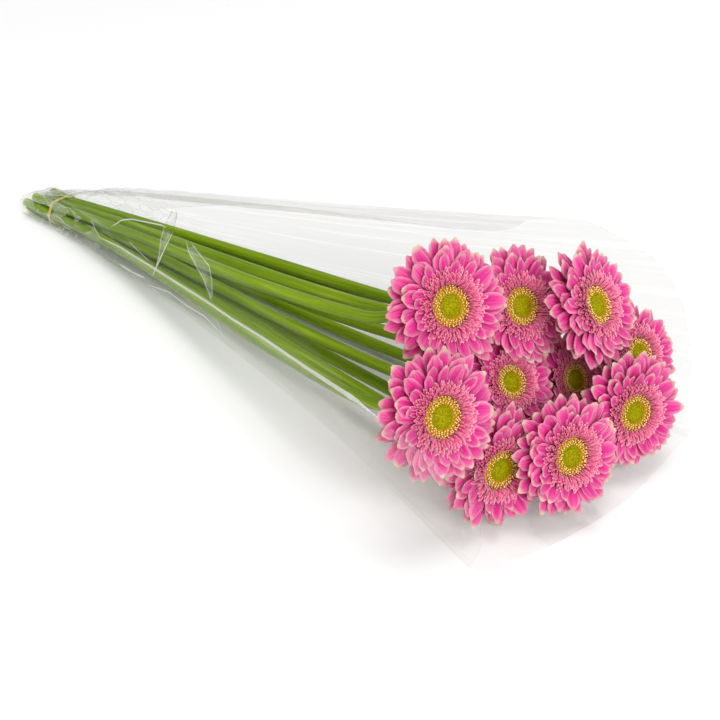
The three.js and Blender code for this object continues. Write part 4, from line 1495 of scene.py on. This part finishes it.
def white_floor(colour):
    """A wide plain floor at z = 0."""
    data = bpy.data.meshes.new("floor")
    reach = 6.0
    corners = [(-reach, -reach, 0), (reach, -reach, 0), (reach, reach, 0), (-reach, reach, 0)]
    data.from_pydata(corners, [], [(0, 1, 2, 3)])
    floor = bpy.data.objects.new("floor", data)
    made = Finish("floor_white")
    body = made.add("BsdfPrincipled", {
        "Base Color": opaque(colour), "Roughness": 0.7, "Specular IOR Level": 0.1,
    }).outputs[0]
    data.materials.append(made.finish(body))
    bpy.context.scene.collection.objects.link(floor)
    floor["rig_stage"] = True


def soft_light(name, place, aim, size, power):
    """A large square area light that looks at a point."""
    light = bpy.data.lights.new(name, "AREA")
    light.shape = "SQUARE"
    light.size = size
    light.energy = power
    lamp = bpy.data.objects.new(name, light)
    lamp.location = place
    lamp.rotation_euler = (Vector(aim) - Vector(place)).to_track_quat("-Z", "Y").to_euler()
    bpy.context.scene.collection.objects.link(lamp)


def white_surround(strength):
    """A white surround that is a little darker towards the horizon."""
    full_height, horizon_share = 0.7, 0.92
    world = bpy.data.worlds.new("surround")
    world.use_nodes = True
    tree = world.node_tree
    place = tree.nodes.new("ShaderNodeTexCoord")
    split = tree.nodes.new("ShaderNodeSeparateXYZ")
    tree.links.new(place.outputs["Generated"], split.inputs[0])
    ramp = tree.nodes.new("ShaderNodeMapRange")
    ramp.inputs["From Min"].default_value = 0.0
    ramp.inputs["From Max"].default_value = full_height
    ramp.inputs["To Min"].default_value = horizon_share * strength
    ramp.inputs["To Max"].default_value = strength
    tree.links.new(split.outputs["Z"], ramp.inputs["Value"])
    background = tree.nodes["Background"]
    background.inputs["Color"].default_value = (1, 1, 1, 1)
    tree.links.new(ramp.outputs[0], background.inputs["Strength"])
    bpy.context.scene.world = world


def photo_camera(look):
    """The camera at the photograph's place and angle."""
    turn, height = look.camera_turn, look.camera_height
    ahead = Vector((
        -math.sin(turn) * math.cos(height), math.cos(turn) * math.cos(height), -math.sin(height)
    ))
    data = bpy.data.cameras.new("photo_camera")
    data.lens = look.lens
    data.sensor_width = SENSOR
    data.clip_start = 0.01
    camera = bpy.data.objects.new("photo_camera", data)
    camera.location = look.camera_place
    camera.rotation_euler = ahead.to_track_quat("-Z", "Y").to_euler()
    bpy.context.scene.collection.objects.link(camera)
    bpy.context.scene.camera = camera


# ---- operators ----


class GERBERA_OT_stage(bpy.types.Operator):
    """Make the floor, the surround, the lights and the camera, and set how film lets light through"""

    bl_idname = "gerbera.stage"
    bl_label = "Stage"

    def execute(self, context):
        look = context.scene.gerbera_stage
        context.scene.view_settings.view_transform = "Standard"
        # Light meets up to eight faces of the film on its way in, and as many on its way out.
        context.scene.cycles.transparent_max_bounces = 40
        white_floor(look.floor_colour)
        white_surround(look.sky_strength)
        soft_light("top_light", (0.2, 0.3, 5.7), (0, 0, 0), 2.6, look.top_power)
        soft_light("face_light", (3.9, -1.9, 2.8), (0.15, 0, 0.05), 3.0, look.face_power)
        photo_camera(look)
        return {"FINISHED"}


class GERBERA_OT_rays(bpy.types.Operator):
    """Make each bloom's whorls of ray florets"""

    bl_idname = "gerbera.rays"
    bl_label = "Ray Florets"

    def execute(self, context):
        look = context.scene.gerbera_bloom
        finish = ray_finish(look)
        rays = settled_rays(look.ray_width / MM, SOLID_STEM_RADIUS)
        for head in HEAD_LIST:
            shape = ray_shape(head, rays[head.number], look)
            core_shape(shape, head)
            dress(shape, f"ray_florets_{head.label}", finish, f"rays_{head.label}", "ray_pink")
        return {"FINISHED"}


class GERBERA_OT_fringes(bpy.types.Operator):
    """Make each bloom's rows of short inner florets"""

    bl_idname = "gerbera.fringes"
    bl_label = "Fringes"

    def execute(self, context):
        finish = fringe_finish(context.scene.gerbera_bloom)
        for head in HEAD_LIST:
            dress(fringe_shape(head), f"inner_florets_{head.label}", finish,
                  f"fringe_{head.label}", "fringe_pink")
        return {"FINISHED"}


class GERBERA_OT_eyes(bpy.types.Operator):
    """Make each bloom's disc of buds and its anthers"""

    bl_idname = "gerbera.eyes"
    bl_label = "Eyes"

    def execute(self, context):
        finish = eye_finish(context.scene.gerbera_bloom)
        for head in HEAD_LIST:
            dress(eye_shape(head), f"disc_and_anthers_{head.label}", finish,
                  f"eye_{head.label}", "eye_yellow_green")
        return {"FINISHED"}


class GERBERA_OT_stems(bpy.types.Operator):
    """Make the stems with their hairs and bracts"""

    bl_idname = "gerbera.stems"
    bl_label = "Stems"

    def execute(self, context):
        look = context.scene.gerbera_stem
        finish = stem_finish(look)
        for head in HEAD_LIST:
            dress(stem_shape(head, look), f"stem_and_bracts_{head.label}", finish,
                  f"stem_{head.label}", "stem_green")
        return {"FINISHED"}


class GERBERA_OT_band(bpy.types.Operator):
    """Make the rubber band"""

    bl_idname = "gerbera.band"
    bl_label = "Rubber Band"

    def execute(self, context):
        finish = band_finish(context.scene.gerbera_stem)
        dress(band_shape(), "rubber_band_wound", finish, "rubber_band", "band_rubber")
        return {"FINISHED"}


class GERBERA_OT_film(bpy.types.Operator):
    """Make the clear film sleeve with its folds"""

    bl_idname = "gerbera.film"
    bl_label = "Film Sleeve"

    def execute(self, context):
        look = context.scene.gerbera_film
        names = [o.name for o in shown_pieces() if "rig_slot" in o]
        shape = film_shape(look, nearest_tree(names), Sight(context.scene.gerbera_stage))
        dress(shape, "clear_film_sleeve", film_finish(look), "film_sleeve", "clear_film")
        return {"FINISHED"}


class GERBERA_PT_bunch(bpy.types.Panel):
    """Lists the steps that make the bunch, with their settings"""

    bl_idname = "GERBERA_PT_bunch"
    bl_label = "Gerbera Bunch"
    bl_space_type = "VIEW_3D"
    bl_region_type = "UI"
    bl_category = "Gerbera"

    def draw(self, context):
        scene = context.scene
        steps = (
            (scene.gerbera_stage, (GERBERA_OT_stage,)),
            (scene.gerbera_bloom, (GERBERA_OT_rays, GERBERA_OT_fringes, GERBERA_OT_eyes)),
            (scene.gerbera_stem, (GERBERA_OT_stems, GERBERA_OT_band)),
            (scene.gerbera_film, (GERBERA_OT_film,)),
        )
        for look, operators in steps:
            box = self.layout.box()
            for name in look.__annotations__:
                box.prop(look, name)
            for operator in operators:
                box.operator(operator.bl_idname)


LOOKS = {
    "gerbera_bloom": BloomLook,
    "gerbera_stem": StemLook,
    "gerbera_film": FilmLook,
    "gerbera_stage": StageLook,
}
OPERATORS = (
    GERBERA_OT_stage,
    GERBERA_OT_rays,
    GERBERA_OT_fringes,
    GERBERA_OT_eyes,
    GERBERA_OT_stems,
    GERBERA_OT_band,
    GERBERA_OT_film,
)


def register():
    for name, look in LOOKS.items():
        bpy.utils.register_class(look)
        setattr(bpy.types.Scene, name, bpy.props.PointerProperty(type=look))
    for operator in OPERATORS:
        bpy.utils.register_class(operator)
    bpy.utils.register_class(GERBERA_PT_bunch)


def unregister():
    bpy.utils.unregister_class(GERBERA_PT_bunch)
    for operator in reversed(OPERATORS):
        bpy.utils.unregister_class(operator)
    for name, look in LOOKS.items():
        delattr(bpy.types.Scene, name)
        bpy.utils.unregister_class(look)


def main():
    register()
    bpy.ops.gerbera.stage()
    bpy.ops.gerbera.rays()
    bpy.ops.gerbera.fringes()
    bpy.ops.gerbera.eyes()
    bpy.ops.gerbera.stems()
    bpy.ops.gerbera.band()
    bpy.ops.gerbera.film()


if __name__ == "__main__":
    main()
